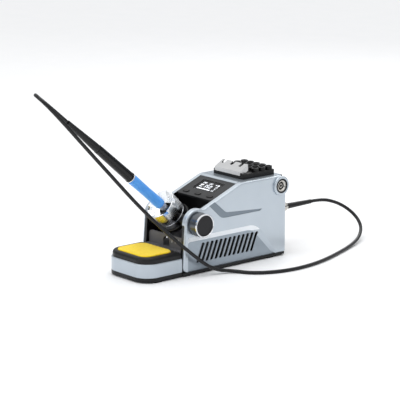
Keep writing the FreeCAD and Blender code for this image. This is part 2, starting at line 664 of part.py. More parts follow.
def make_control_panel():
    half = "inner_face - gap"
    fascia = Piece("display_fascia", ON_SLOPE)
    fascia.pad("XY_Plane", "-fascia_thick", "0", outline=rectangle(
        f"-({half})", half, "-fascia_end", "-fascia_start", "3.5"))
    fascia.pocket("XY_Plane", "-window_thick", "1",
                  outline=rectangle("-window_width/2", "window_width/2", "-window_centre - window_length/2",
                                    "-window_centre + window_length/2", "2"))
    fascia.pocket("XY_Plane", "-fascia_thick - 1", "0",
                  outline=rectangle("-window_width/2 + 2", "window_width/2 - 2",
                                    "-window_centre - window_length/2 + 2",
                                    "-window_centre + window_length/2 - 2"))
    for x in ("-button_spacing", "0", "button_spacing"):
        fascia.pocket("XY_Plane", "-fascia_thick - 1", "1", outline=button_outline(x, "0.35"))

    def front_rim(edge):
        return flat_at(2, "0")(edge) and edge.BoundBox.XMax - edge.BoundBox.XMin > 50
    fascia.round_edges("0.6", front_rim)

    window = Piece("display_window", ON_SLOPE)
    window.pad("XY_Plane", "-window_thick", "-0.1",
               outline=rectangle("-window_width/2 + 0.1", "window_width/2 - 0.1",
                                 "-window_centre - window_length/2 + 0.1",
                                 "-window_centre + window_length/2 - 0.1", "1.9"))
    screen = Piece("display_screen", ON_SLOPE)
    screen.pad("XY_Plane", "-fascia_thick", "-window_thick - 0.3",
               outline=rectangle("-window_width/2 + 2.2", "window_width/2 - 2.2",
                                 "-window_centre - window_length/2 + 2.2",
                                 "-window_centre + window_length/2 - 2.2"))

    housing = next(body for body in EXPORTED if body.Label == "inner_housing")
    opening = Piece("panel_opening", ON_SLOPE, kept=False)
    opening.pad("XY_Plane", "-fascia_thick - skin - 4", "-fascia_thick + 0.01", outline=rectangle(
        f"-({half} - 8)", f"{half} - 8", "-fascia_end + 4.2", "-fascia_start - 4"))
    cut = boolean("Part::Cut", "inner_housing_open", housing, opening.body)
    housing.Label = "inner_housing_blank"
    cut.Label = "inner_housing"

    board = Piece("display_board", ON_SLOPE)
    board.pad("XY_Plane", "-fascia_thick - board_thick - 4", "-fascia_thick - 4", outline=rectangle(
        f"-({half} - 9)", f"{half} - 9", "-fascia_end + 5.4", "-fascia_start - 5"))
    switches = []
    for label, x in (("down_button", "-button_spacing"), ("set_button", "0"),
                     ("up_button", "button_spacing")):
        button = Piece(label, ON_SLOPE)
        button.pad("XY_Plane", "-fascia_thick + 0.9", "button_proud", outline=button_outline(x, "0"))
        button.round_edges("0.5", flat_at(2, "button_proud"))
        button.pad("XY_Plane", "-fascia_thick + 0.2", "-fascia_thick + 1",
                   circles=[(x, "-button_down", "1.6")])
        switch = Piece("tact_switch", ON_SLOPE, kept=False)
        switch.pad("XY_Plane", "-fascia_thick - 4", "-fascia_thick - 2", outline=rectangle(
            f"{x} - 3", f"{x} + 3", "-button_down - 2.9", "-button_down + 2.9"))
        switch.pad("XY_Plane", "-fascia_thick - 2", "-fascia_thick - 0.8",
                   circles=[(x, "-button_down", "1.4")])
        switches.append(switch.body)
    group("tact_switches", switches)


# ---- Tip rack -------------------------------------------------------------------------------------
def bush_spots():
    columns = round(value("bush_columns"))
    rows = round(value("bush_rows"))
    pitch = "(2*rack_half/bush_columns)"
    return [(f"{pitch}*({column} - (bush_columns - 1)/2)", f"rack_end - {pitch}*({row} + 0.5)")
            for row in range(rows) for column in range(columns)]


def make_rack():
    rack = Piece("tip_rack")
    rack.pad("XY_Plane", "deck_height", "rack_top", outline=rectangle(
        "-rack_half", "rack_half", "rack_start", "rack_end", "2"))
    rack.round_edges("0.8", flat_at(2, "rack_top"))
    rack.pocket("XY_Plane", "rack_top - 4", "rack_top + 1",
                circles=[(x, y, "bush_radius - 1 + 0.05") for x, y in bush_spots()])
    bushes = []
    for x, y in bush_spots():
        bush = Piece("tip_bush", f"placement(vector({x}; {y}; rack_top); rotation(vector(0; 0; 1); 0))",
                     kept=False)
        bush.turn([("bush_bore", "-3.9"), ("bush_radius - 1", "-3.9"), ("bush_radius - 1", "0"),
                   ("bush_radius", "0"),
                   ("bush_radius", "bush_rise", "0.8"), ("bush_bore", "bush_rise")])
        bushes.append(bush.body)
    group("tip_bushes", bushes)

    # one bent stainless sheet: a front lip, a rising face with three U notches, and two side flanges
    front = "(rack_start - plate_thick)"
    top_y = "(rack_start + plate_reach)"
    top_z = "(deck_height + plate_rise)"
    lip_z = "(rack_top + 3.2)"
    plate = Piece("tip_puller_plate")
    plate.pad("YZ_Plane", "-plate_half", "plate_half", outline=[
        (front, "rack_top - 2.4"), ("rack_start", "rack_top - 2.4"), ("rack_start", f"{lip_z} - 0.5"),
        (top_y, f"{top_z} - plate_thick"), (top_y, top_z), (front, lip_z)])
    for side in (1, -1):
        plate.pad("YZ_Plane", "plate_half - plate_thick" if side > 0 else "-plate_half",
                  "plate_half" if side > 0 else "-plate_half + plate_thick", outline=[
                      (front, lip_z), ("rack_start + 1.5", "rack_top"), ("rack_start + 7", "rack_top"),
                      (top_y, f"{top_z} - 9"), (top_y, top_z)])
    for x in (-1, 0, 1):
        centre = f"(-2 + {x}*(plate_half*2/3))"
        plate.pocket("XY_Plane", "rack_top + 1", f"{top_z} + 1", outline=[
            (f"{centre} - notch_width/2", f"{top_y} - 7", "notch_width/2 - 0.1"),
            (f"{centre} + notch_width/2", f"{top_y} - 7", "notch_width/2 - 0.1"),
            (f"{centre} + notch_width/2", f"{top_y} + 2"),
            (f"{centre} - notch_width/2", f"{top_y} + 2")])


# ---- Holder and tilt pivot ------------------------------------------------------------------------
def make_holder():
    tube = Piece("holder_tube", ON_IRON)
    tube.turn([("holder_radius - holder_wall", "-holder_tail"), ("holder_radius", "-holder_tail"),
               ("holder_radius", "12.4"), ("holder_radius - 0.5", "12.4"), ("holder_radius - 0.5", "13.3"),
               ("holder_radius", "13.3"), ("holder_radius", "crown_start"),
               ("holder_radius - holder_wall", "crown_start")])
    tail = Piece("holder_end_cap", ON_IRON)
    tail.turn([("0", "-holder_tail - 2"), ("holder_radius - 2", "-holder_tail - 2"),
               ("holder_radius", "-holder_tail"),
               ("holder_radius - holder_wall", "-holder_tail"),
               ("holder_radius - holder_wall", "-holder_tail + 3"),
               ("0", "-holder_tail + 3")])
    crown = Piece("crown_ring", ON_IRON)
    crown.turn([("throat_radius", "crown_start - 2"), ("holder_radius - holder_wall", "crown_start - 2"),
                ("holder_radius - holder_wall", "crown_start"),
                ("holder_radius + crown_proud", "crown_start", "0.8"),
                ("holder_radius + crown_proud", "crown_end", "0.8"), ("crown_lip", "crown_end"),
                ("throat_radius", "throat_start")])
    crown.pocket("XZ_Plane", "-holder_radius - 5", "-throat_radius", outline=rectangle(
        "-3.5", "3.5", "crown_end - 5", "crown_end + 1"))
    crown.repeat_round(6)
    liner = Piece("holder_liner", ON_IRON)
    liner.turn([("collar_radius + 0.6", "crown_start - 8"),
                ("holder_radius - holder_wall", "crown_start - 8"),
                ("holder_radius - holder_wall", "crown_start - 2"),
                ("collar_radius + 3.6", "crown_start - 2"),
                ("collar_radius + 0.6", "crown_start - 4")])
    yoke = Piece("holder_yoke", ON_IRON)
    yoke.turn([("holder_radius", "-yoke_length/2"), ("holder_radius + yoke_thick", "-yoke_length/2"),
               ("holder_radius + yoke_thick", "yoke_length/2"), ("holder_radius", "yoke_length/2")])
    for side in (1, -1):
        inner = "(holder_radius + 0.2)"
        outer = "(inner_face - washer_thick)"
        low, high = (inner, outer) if side > 0 else (f"-{outer}", f"-{inner}")
        yoke.pad("YZ_Plane", low, high, circles=[("0", "0", "trunnion_radius")])
        yoke.pocket("YZ_Plane", low, high, circles=[("0", "0", "pin_radius + 0.02")])

    for label, side in (("right_pivot_pin", 1), ("left_pivot_pin", -1)):
        turned = "90" if side > 0 else "-90"
        pin = Piece(label, "placement(vector(0; -pivot_forward; pivot_height); "
                           f"rotation(vector(0; 1; 0); {turned}))")
        reach = "half_width + knob_length - 5" if side > 0 else "half_width - 0.2"
        pin.turn([("0", "holder_radius + 1"), ("pin_radius", "holder_radius + 1"), ("pin_radius", reach),
                  ("0", reach)])
        if side < 0:
            pin.turn([("0", "half_width - 0.2"), ("pin_radius + 3.4", "half_width - 0.2"),
                      ("pin_radius + 2.4", "half_width + 1.8"), ("0", "half_width + 1.8")])
    washers = []
    for side in (1, -1):
        turned = "90" if side > 0 else "-90"
        washer = Piece("washer", "placement(vector(0; -pivot_forward; pivot_height); "
                                 f"rotation(vector(0; 1; 0); {turned}))", kept=False)
        washer.turn([("pin_radius + 0.1", "inner_face - washer_thick"),
                     ("trunnion_radius", "inner_face - washer_thick"),
                     ("trunnion_radius", "inner_face - 0.05"), ("pin_radius + 0.1", "inner_face - 0.05")])
        washers.append(washer.body)
    group("friction_washers", washers)

    face = "(half_width + knob_length)"
    knob = Piece("knob_shell", ON_PIVOT)
    knob.turn([("pin_radius + running", "half_width - 1"), ("knob_radius - 0.6", "half_width - 1"),
               ("knob_radius", "half_width + 1"), ("knob_radius", f"{face} - 2"),
               ("knob_radius - knob_ring", f"{face} - 2"),
               ("knob_radius - knob_ring", f"{face} - 4.6"), ("pin_radius + running", f"{face} - 4.6")])
    ring = Piece("knob_ring_bright", ON_PIVOT)
    ring.turn([("knob_radius - knob_ring", f"{face} - 2"), ("knob_radius", f"{face} - 2"),
               ("knob_radius", f"{face} - 0.6"),
               ("knob_radius - 0.7", face), ("knob_radius - knob_ring + 0.5", face),
               ("knob_radius - knob_ring", f"{face} - 0.6")])
    cap = Piece("knob_face", ON_PIVOT)
    cap.turn([("0", f"{face} - 4.6"), ("knob_radius - knob_ring - 0.05", f"{face} - 4.6"),
              ("knob_radius - knob_ring - 0.05", f"{face} - 1.2"),
              ("knob_radius - knob_ring - 1.6", f"{face} - 1.8"),
              ("0", f"{face} - 1.8")])


# ---- Iron -----------------------------------------------------------------------------------------
def make_iron():
    core = "core_radius"
    grip = Piece("iron_grip", ON_IRON)
    grip.turn([(core, "grip_start"), ("grip_radius - 1.2", "grip_start"),
               ("grip_radius", "grip_start + 3", "3"),
               ("grip_radius", "grip_end"), (core, "grip_end")])
    barrel = Piece("iron_barrel", ON_IRON)
    barrel.turn([(core, "grip_end"), ("barrel_radius + 0.5", "grip_end"),
                 ("barrel_radius + 0.5", "grip_end + 2", "0.6"),
                 ("barrel_radius", "grip_end + 4"), ("barrel_rear", "barrel_end"), (core, "barrel_end")])
    boot = Piece("iron_boot", ON_IRON)
    boot.turn([("0", "barrel_end"), ("boot_radius", "barrel_end"), ("boot_radius", "barrel_end + 6"),
               ("boot_tail", "boot_end - 2"), ("boot_tail", "boot_end"), ("0", "boot_end")])
    tube = Piece("iron_core", ON_IRON)
    bore = "core_radius - core_wall"
    tube.turn([(bore, "grip_start - 1"), (core, "grip_start - 1"), (core, "barrel_end"),
               (bore, "barrel_end")])
    collar = Piece("iron_collar", ON_IRON)
    collar.turn([("cartridge_radius", "crown_start - 5"), ("collar_radius - 1", "crown_start - 5"),
                 ("collar_radius", "crown_start - 3"), ("collar_radius", "grip_start - 1"),
                 ("cartridge_radius", "grip_start - 1")])
    tip = Piece("iron_tip", ON_IRON)
    tip.turn([("0", "-tip_reach"), ("0.4", "-tip_reach"), ("2.3", "-tip_reach + 9"),
              ("cartridge_radius", "-tip_reach + 11"), ("cartridge_radius", "grip_end"), ("0", "grip_end")])


# ---- Rear: mains inlet, switch, the iron's socket and plug ------------------------------------------
def make_rear():
    inlet = Piece("mains_inlet")
    inlet.pad("XZ_Plane", "panel_front - 16", "body_back", outline=rectangle(
        "-13.6", "13.6", "inlet_height - 10.1", "inlet_height + 10.1", "2.8"))
    inlet.pad("XZ_Plane", "body_back", "body_back + 2", outline=rectangle(
        "-16", "16", "inlet_height - 12.4", "inlet_height + 12.4", "3.5"))
    inlet.pocket("XZ_Plane", "panel_front - 12", "body_back + 3", outline=[
        ("-12", "inlet_height - 7.8", "1"), ("12", "inlet_height - 7.8", "1"), ("12", "inlet_height + 3"),
        ("8.2", "inlet_height + 7.8"), ("-8.2", "inlet_height + 7.8"), ("-12", "inlet_height + 3")])
    blades = [("-7", "inlet_height - 2"), ("7", "inlet_height - 2"), ("0", "inlet_height + 2")]
    for x, z in blades:
        inlet.pocket("XZ_Plane", "panel_front - 17", "panel_front - 11",
                     outline=rectangle(f"{x} - 1.1", f"{x} + 1.1", f"{z} - 2.1", f"{z} + 2.1"))
    contacts = []
    for x, z in blades:
        blade = Piece("inlet_blade", kept=False)
        blade.pad("XZ_Plane", "panel_front - 24", "body_back - 2",
                  outline=rectangle(f"{x} - 1", f"{x} + 1", f"{z} - 2", f"{z} + 2"))
        contacts.append(blade.body)
    group("inlet_contacts", contacts)

    frame = Piece("switch_frame")
    frame.pad("XZ_Plane", "panel_front - 13", "body_back", outline=rectangle(
        "-9.5", "9.5", "switch_height - 6.4", "switch_height + 6.4"))
    frame.pad("XZ_Plane", "body_back", "body_back + 1.8", outline=rectangle(
        "-10.6", "10.6", "switch_height - 7.6", "switch_height + 7.6", "1"))
    frame.pocket("XZ_Plane", "panel_front - 9", "body_back + 2", outline=rectangle(
        "-8.4", "8.4", "switch_height - 5.3", "switch_height + 5.3"))
    frame.pocket("YZ_Plane", "-9.6", "9.6",
                 circles=[("body_back", "switch_height", "rocker_axle + running")])
    rocker = Piece("switch_rocker", ON_ROCKER)
    rocker.pad("XZ_Plane", "-3.6", "3.6", outline=rectangle("-7.7", "7.7", "-4.7", "4.7"))
    rocker.pad("YZ_Plane", "-9.1", "9.1", circles=[("0", "0", "rocker_axle")])
    rocker.pocket("YZ_Plane", "-8", "8", outline=[
        ("4", "-5"), ("3.6", "-5"), ("2.2", "0", "8"), ("3.6", "5"), ("4", "5")])

    socket = Piece("iron_socket", ON_SOCKET)
    socket.turn([("6", "panel_front - 12"), ("7.6", "panel_front - 12"), ("7.6", "body_back"),
                 ("socket_radius", "body_back"),
                 ("socket_radius", "body_back + 3", "0.6"), ("6", "body_back + 3")])
    nut = Piece("socket_nut", ON_SOCKET)
    nut.turn([("7.7", "panel_front - 3"), ("10.5", "panel_front - 3"), ("10.5", "panel_front"),
              ("7.7", "panel_front")])
    core = Piece("socket_pins", ON_SOCKET)
    core.turn([("0", "panel_front - 10"), ("6", "panel_front - 10"), ("6", "panel_front - 4"),
               ("0", "panel_front - 4")])
    core.pad("XY_Plane", "panel_front - 4", "body_back + 1", circles=[
        (f"3.4*cos({turn})", f"3.4*sin({turn})", "0.7") for turn in (18, 90, 162, 234, 306)])

    plug_start = "(body_back + 3)"
    plug = Piece("plug_shell", ON_SOCKET)
    plug.turn([("3.4", f"{plug_start} + 9"), ("plug_radius - 1.2", f"{plug_start} + 9"),
               ("plug_radius - 1.2", f"{plug_start} + plug_length - 4"),
               ("plug_radius - 2.4", f"{plug_start} + plug_length"),
               ("3.4", f"{plug_start} + plug_length")])
    ring = Piece("plug_lock_ring", ON_SOCKET)
    ring.turn([("6", plug_start), ("plug_radius + 0.3", plug_start, "0.6"),
               ("plug_radius + 0.3", f"{plug_start} + 9", "0.6"),
               ("6", f"{plug_start} + 9")])
    insert = Piece("plug_insert", ON_SOCKET)
    insert.turn([("0", "body_back + 1.4"), ("5.8", "body_back + 1.4"), ("5.8", f"{plug_start} + 9"),
                 ("0", f"{plug_start} + 9")])
    boot = Piece("plug_boot", ON_SOCKET)
    boot.turn([("0", f"{plug_start} + plug_length"), ("plug_boot_radius", f"{plug_start} + plug_length"),
               ("plug_boot_radius", f"{plug_start} + plug_length + 4"),
               ("plug_boot_tail", "plug_boot_end - 1"),
               ("plug_boot_tail", "plug_boot_end"), ("0", "plug_boot_end")])


# ---- Cord -----------------------------------------------------------------------------------------
def on_iron(along_iron):
    """A point on the resting iron's axis, so far from the pivot."""
    y = value(f"-pivot_forward - {along_iron}*cos(tilt)")
    z = value(f"pivot_height + {along_iron}*sin(tilt)")
    return (0, y, z)


# The route of the silicone cord: straight out of the handle's boot, back over itself in a small loop, down
# past the right side, out over the table, and up behind into the plug.
CORD_ROUTE = [
    on_iron("boot_end"), on_iron("(boot_end + 33)"),
    (0.5, -277.5, 272.5), (16.9, -288.0, 275.2), (33.1, -283.6, 265.0),
    (33.5, -258.5, 239.5), (35.5, -222.0, 199.5), (39.0, -184.5, 158.5), (44.0, -146.0, 115.5),
    (49.5, -105.5, 75.0), (55.5, -66.0, 39.5), (61.0, -27.0, 7.5),
    (70.0, 3.0, 2.6), (95.0, 14.0, 2.6), (113.0, 43.0, 2.6), (120.0, 84.0, 2.6), (112.0, 138.0, 2.6),
    (87.0, 204.0, 2.6), (72.0, 238.0, 3.9), (60.0, 261.0, 7.0), (44.5, 281.0, 14.0), (31.5, 289.0, 22.0),
    (20.5, 288.0, 31.5), (11.0, 279.5, 41.5), (4.5, 264.0, 50.5),
    (0, value("plug_boot_end + 23"), value("socket_height")),
              (0, value("plug_boot_end"), value("socket_height")),
]


def make_cord():
    route = [FreeCAD.Vector(*spot) for spot in CORD_ROUTE]
    radius = value("cord_radius")
    edges = []
    radii = []
    spot = route[0]
    for before, corner, after in zip(route, route[1:], route[2:]):
        arriving = (corner - before).normalize()
        leaving = (after - corner).normalize()
        half_turn = arriving.getAngle(leaving)/2
        reach = 0.45*min((corner - before).Length, (after - corner).Length)
        bend = reach/math.tan(half_turn)
        inward = (leaving - arriving).normalize()
        start = corner - arriving*reach
        middle = corner + inward*bend*(1/math.cos(half_turn) - 1)
        end = corner + leaving*reach
        edges += [Part.LineSegment(spot, start).toShape(), Part.Arc(start, middle, end).toShape()]
        radii.append(bend)
        spot = end
    edges.append(Part.LineSegment(spot, route[-1]).toShape())
    path = Part.Wire(edges)
    section = Part.Wire(Part.Circle(route[0], route[1] - route[0], radius).toShape())
    cord = doc.addObject("Part::Feature", "iron_cord")
    cord.Label = "iron_cord"
    cord.Shape = path.makePipeShell([section], True, False)
    EXPORTED.append(cord)

    expected = math.pi*radius**2*path.Length
    if abs(cord.Shape.Volume/expected - 1) > 0.01:
        raise RuntimeError("the cord's volume isn't its section times its length")
    print(f"cord: {path.Length:.0f} mm long, {cord.Shape.Volume/expected:.4f} of section times length")
    print("cord radii:", " ".join(f"{bend:.0f}" for bend in radii))


# ---- Electronics ----------------------------------------------------------------------------------
def make_electronics():
    front = "(bulkhead + skin + 14)"
    back = "(panel_front - 30)"
    half = "(inner_face - gap - skin - 9)"
    top = "(board_height + board_thick)"
    corners = [(f"{side}*({half} - 4)", y) for side in (1, -1) for y in (f"{front} + 4", f"{back} - 4")]
    board = Piece("main_board")
    board.pad("XY_Plane", "board_height", top, outline=rectangle(f"-{half}", half, front, back, "1.5"))
    board.pocket("XY_Plane", "board_height - 1", f"{top} + 1", circles=[(x, y, "1.6") for x, y in corners])
    posts = []
    for x, y in corners:
        post = Piece("standoff", f"placement(vector({x}; {y}; 0); rotation(vector(0; 0; 1); 0))",
                     kept=False)
        post.turn([("0", "base_top"), ("2.8", "base_top"), ("2.8", "board_height"), ("1.4", "board_height"),
                   ("1.4", f"{top} + 1.2"), ("0", f"{top} + 1.2")])
        posts.append(post.body)
    group("board_standoffs", posts)

    transformer = Piece("transformer")
    transformer.pad("XY_Plane", top, f"{top} + 30",
                    outline=rectangle("-19", "13", f"{back} - 42", f"{back} - 8", "1.5"))
    transformer.pad("XZ_Plane", f"{back} - 47", f"{back} - 3",
                    outline=rectangle("-13", "7", f"{top} + 4", f"{top} + 26", "4"))
    sink = Piece("heat_sink")
    sink.pad("XY_Plane", top, f"{top} + 26",
             outline=rectangle("-20", "20", f"{front} + 10", f"{front} + 13"))
    for fin in range(8):
        x = f"(-19.2 + {fin}*5.2)"
        sink.pad("XY_Plane", f"{top} + 1", f"{top} + 26", outline=rectangle(
            f"{x} - 0.8", f"{x} + 0.8", f"{front} + 12", f"{front} + 24"))
    cans = []
    for y in (28, 41):
        can = Piece("capacitor",
                    f"placement(vector(18.5; {back} - {y}; {top}); rotation(vector(0; 0; 1); 0))",
                    kept=False)
        can.turn([("0", "0"), ("5", "0"), ("5", "22", "0.6"), ("0", "22")])
        cans.append(can.body)
    group("filter_capacitors", cans)


make_base()
make_tray()
make_side_shells()
make_housing()
make_control_panel()
make_rack()
make_holder()
make_iron()
make_rear()
make_cord()
make_electronics()
doc.recompute()

# ---- Checks and export ------------------------------------------------------------------------------
for made in doc.Objects:
    if "Invalid" in made.State or "Error" in made.State:
        raise RuntimeError(f"{made.Name} ({made.Label}) failed: {made.State}")
    if made.TypeId in ("PartDesign::Pocket", "PartDesign::Groove", "PartDesign::SubtractiveLoft"):
        removed = made.BaseFeature.Shape.Volume - made.Shape.Volume
        if removed < 1e-3:
            raise RuntimeError(f"{made.Name} cuts nothing from {made.getParentGeoFeatureGroup().Label}")
for made in EXPORTED:
    if made.Shape.isNull() or not made.Shape.isValid() or not made.Shape.Solids:
        raise RuntimeError(f"{made.Label} has no valid solid")

os.makedirs("parts", exist_ok=True)
for made in EXPORTED:
    made.Shape.exportStep(f"parts/{made.Label}.step")
    print(f"{made.Label}: {len(made.Shape.Solids)} solid(s), {made.Shape.Volume/1000:.2f} cm3")
print(len(EXPORTED), "nodes")
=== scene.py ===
import json
import math

import bmesh
import bpy
from mathutils import Matrix, Vector, noise


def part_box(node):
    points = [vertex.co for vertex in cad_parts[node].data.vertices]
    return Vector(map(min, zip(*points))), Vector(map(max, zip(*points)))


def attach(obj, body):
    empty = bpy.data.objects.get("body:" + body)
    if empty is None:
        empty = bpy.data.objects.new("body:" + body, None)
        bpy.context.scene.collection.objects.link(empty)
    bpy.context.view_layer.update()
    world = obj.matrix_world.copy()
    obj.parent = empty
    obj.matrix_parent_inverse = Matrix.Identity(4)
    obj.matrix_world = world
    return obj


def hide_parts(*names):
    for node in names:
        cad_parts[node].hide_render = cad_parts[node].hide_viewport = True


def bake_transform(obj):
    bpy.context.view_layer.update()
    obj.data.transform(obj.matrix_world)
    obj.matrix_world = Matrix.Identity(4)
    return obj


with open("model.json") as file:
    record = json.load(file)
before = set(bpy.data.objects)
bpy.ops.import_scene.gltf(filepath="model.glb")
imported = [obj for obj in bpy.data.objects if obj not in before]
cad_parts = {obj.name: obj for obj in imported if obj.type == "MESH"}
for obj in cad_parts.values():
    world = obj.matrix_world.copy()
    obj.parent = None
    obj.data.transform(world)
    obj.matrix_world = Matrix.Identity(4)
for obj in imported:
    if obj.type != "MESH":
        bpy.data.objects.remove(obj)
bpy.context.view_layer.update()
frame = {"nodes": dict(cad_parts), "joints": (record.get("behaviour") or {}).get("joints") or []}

# A bench soldering station: a low sponge tray, two painted alloy side shells with a tilting chrome holder
# between them, a sloping display panel, and a rack for spare tips on the deck. +Z is up, the tray points
# along -Y and +X is the user's right. Everything is in metres; MM turns the maker's sizes into them.
MM = 0.001
NODES = frame["nodes"]
JOINTS = {joint["name"]: joint for joint in frame["joints"]}
PIVOT = Vector(JOINTS["holder_tilt"]["pos_m"])
IRON_AXIS = Vector(JOINTS["iron_lift"]["axis"]).normalized()
PANEL_NORMAL = -Vector(JOINTS["set_press"]["axis"]).normalized()
RIGHT = Vector((1, 0, 0))
WALL_FRONT = -59*MM


def place_along(origin, axis):
    """A frame whose Z runs along axis and whose X is the object's right."""
    turned = Matrix((RIGHT, axis.cross(RIGHT), axis)).transposed()
    return Matrix.Translation(origin) @ turned.to_4x4()


def local_box(node, place):
    """Lowest and highest corner of a CAD node in a frame of its own."""
    back = place.inverted()
    spots = [back @ vertex.co for vertex in NODES[node].data.vertices]
    low = Vector([min(spot[i] for spot in spots) for i in range(3)])
    high = Vector([max(spot[i] for spot in spots) for i in range(3)])
    return low, high


ON_IRON = place_along(PIVOT, IRON_AXIS)
ON_PANEL = place_along(Vector((0, 0, 0)), PANEL_NORMAL)


# ---- Small tools ------------------------------------------------------------------------------------
def srgb(code):
    """A colour given as #rrggbb, in the linear values that shaders take."""
    linear = []
    for start in (1, 3, 5):
        channel = int(code[start:start + 2], 16)/255
        linear.append(channel/12.92 if channel <= 0.04045 else ((channel + 0.055)/1.055)**2.4)
    return (*linear, 1.0)


def per_mm(size):
    """A texture's scale for features of that size in millimetres, on Object coordinates in metres."""
    return 1/(size*MM)


def add(tree, kind, settings=None, inputs=None):
    """Adds a node with its own settings; each input is a plain value or another node's output."""
    node = tree.nodes.new(kind)
    for name, value in (settings or {}).items():
        setattr(node, name, value)
    for name, value in (inputs or {}).items():
        if isinstance(value, bpy.types.NodeSocket):
            tree.links.new(value, node.inputs[name])
        else:
            node.inputs[name].default_value = value
    return node


def new_material(name):
    """A material with a Principled surface, and the Object coordinates its patterns are laid on."""
    material = bpy.data.materials.new(name)
    material.use_nodes = True
    tree = material.node_tree
    tree.nodes.clear()
    surface = add(tree, "ShaderNodeBsdfPrincipled")
    add(tree, "ShaderNodeOutputMaterial", inputs={"Surface": surface.outputs["BSDF"]})
    spot = add(tree, "ShaderNodeTexCoord").outputs["Object"]
    return material, tree, surface, spot


def set_surface(surface, **values):
    """Plain values for the Principled surface's sockets, such as Metallic or Coat_Weight."""
    for name, value in values.items():
        surface.inputs[name.replace("_", " ")].default_value = value


def mesh_object(name, mesh):
    """Puts a mesh or a curve in the scene as an object at the origin."""
    piece = bpy.data.objects.new(name, mesh)
    bpy.context.scene.collection.objects.link(piece)
    return piece


def from_bmesh(name, bm, material, smooth=True):
    """Closes a bmesh into an object with its faces pointing outwards."""
    bmesh.ops.recalc_face_normals(bm, faces=bm.faces)
    mesh = bpy.data.meshes.new(name)
    bm.to_mesh(mesh)
    bm.free()
    mesh.materials.append(material)
    if smooth:
        mesh.shade_smooth()
    return mesh_object(name, mesh)


def turned(name, profile, place, material, sides=96):
    """A ring-shaped piece: a closed profile of (radius, along) in millimetres, turned about a place's Z."""
    bm = bmesh.new()
    rings = []
    for step in range(sides):
        angle = 2*math.pi*step/sides
        across, up = math.cos(angle), math.sin(angle)
        rings.append([bm.verts.new(place @ Vector((radius*MM*across, radius*MM*up, along*MM)))
                      for radius, along in profile])
    count = len(profile)
    for ring, following in zip(rings, rings[1:] + rings[:1]):
        for i in range(count):
            j = (i + 1) % count
            bm.faces.new((ring[i], ring[j], following[j], following[i]))
    return from_bmesh(name, bm, material)


def realised(name, tree, inputs, material):
    """Runs a Geometry Nodes tree on an empty mesh and returns its result as a plain mesh object."""
    source = mesh_object(name + "_source", bpy.data.meshes.new(name + "_source"))
    modifier = source.modifiers.new("nodes", "NODES")
    modifier.node_group = tree
    sockets = {item.name: item.identifier for item in tree.interface.items_tree if item.in_out == "INPUT"}
    for label, value in inputs.items():
        modifier[sockets[label]] = value
    modifier[sockets["Material"]] = material
    bpy.context.view_layer.update()
    graph = bpy.context.evaluated_depsgraph_get()
    mesh = bpy.data.meshes.new_from_object(source.evaluated_get(graph))
    bpy.data.objects.remove(source)
    mesh.name = name
    return mesh_object(name, mesh)


# ---- Finishes -----------------------------------------------------------------------------------------
# How far out from the middle the side shells' faces lie, and how far a face may stray from it. These are in
# millimetres.
BAND_FLOOR = 45.1
VENT_PANEL = 43.0
INNER_FACE = 38.0
FACE_SLACK = 0.06
# The ledge between the band and the vents, with a painted highlight: its middle and half its reach aside,
# along Y and in height.
LEDGE = ((44.5, 1.35), (22, 83), (51, 5))


def painted_alloy(name, low, high):
    """Satin silver-blue paint on die-cast alloy: a broad soft highlight over a faint orange peel."""
    material, tree, surface, spot = new_material(name)
    set_surface(surface, Metallic=0.72, Coat_Weight=0.35, Coat_Roughness=0.12)
    cloud = add(tree, "ShaderNodeTexNoise", inputs={"Vector": spot, "Scale": per_mm(45), "Detail": 2.0})
    shade = add(tree, "ShaderNodeMix", {"data_type": "RGBA"}, {
        "Factor": cloud.outputs["Fac"], 6: srgb(low), 7: srgb(high)})
    flake = add(tree, "ShaderNodeTexNoise", inputs={"Vector": spot, "Scale": per_mm(0.35), "Detail": 1.0})
    rough = add(tree, "ShaderNodeMapRange", inputs={
        "Value": flake.outputs["Fac"], "To Min": 0.26, "To Max": 0.38})
    peel = add(tree, "ShaderNodeTexNoise", inputs={"Vector": spot, "Scale": per_mm(1.6), "Detail": 2.0})
    bump = add(tree, "ShaderNodeBump", inputs={
        "Height": peel.outputs["Fac"], "Strength": 0.25, "Distance": 0.02*MM})
    tree.links.new(shade.outputs[2], surface.inputs["Base Color"])
    tree.links.new(rough.outputs[0], surface.inputs["Roughness"])
    tree.links.new(bump.outputs[0], surface.inputs["Normal"])
    return material


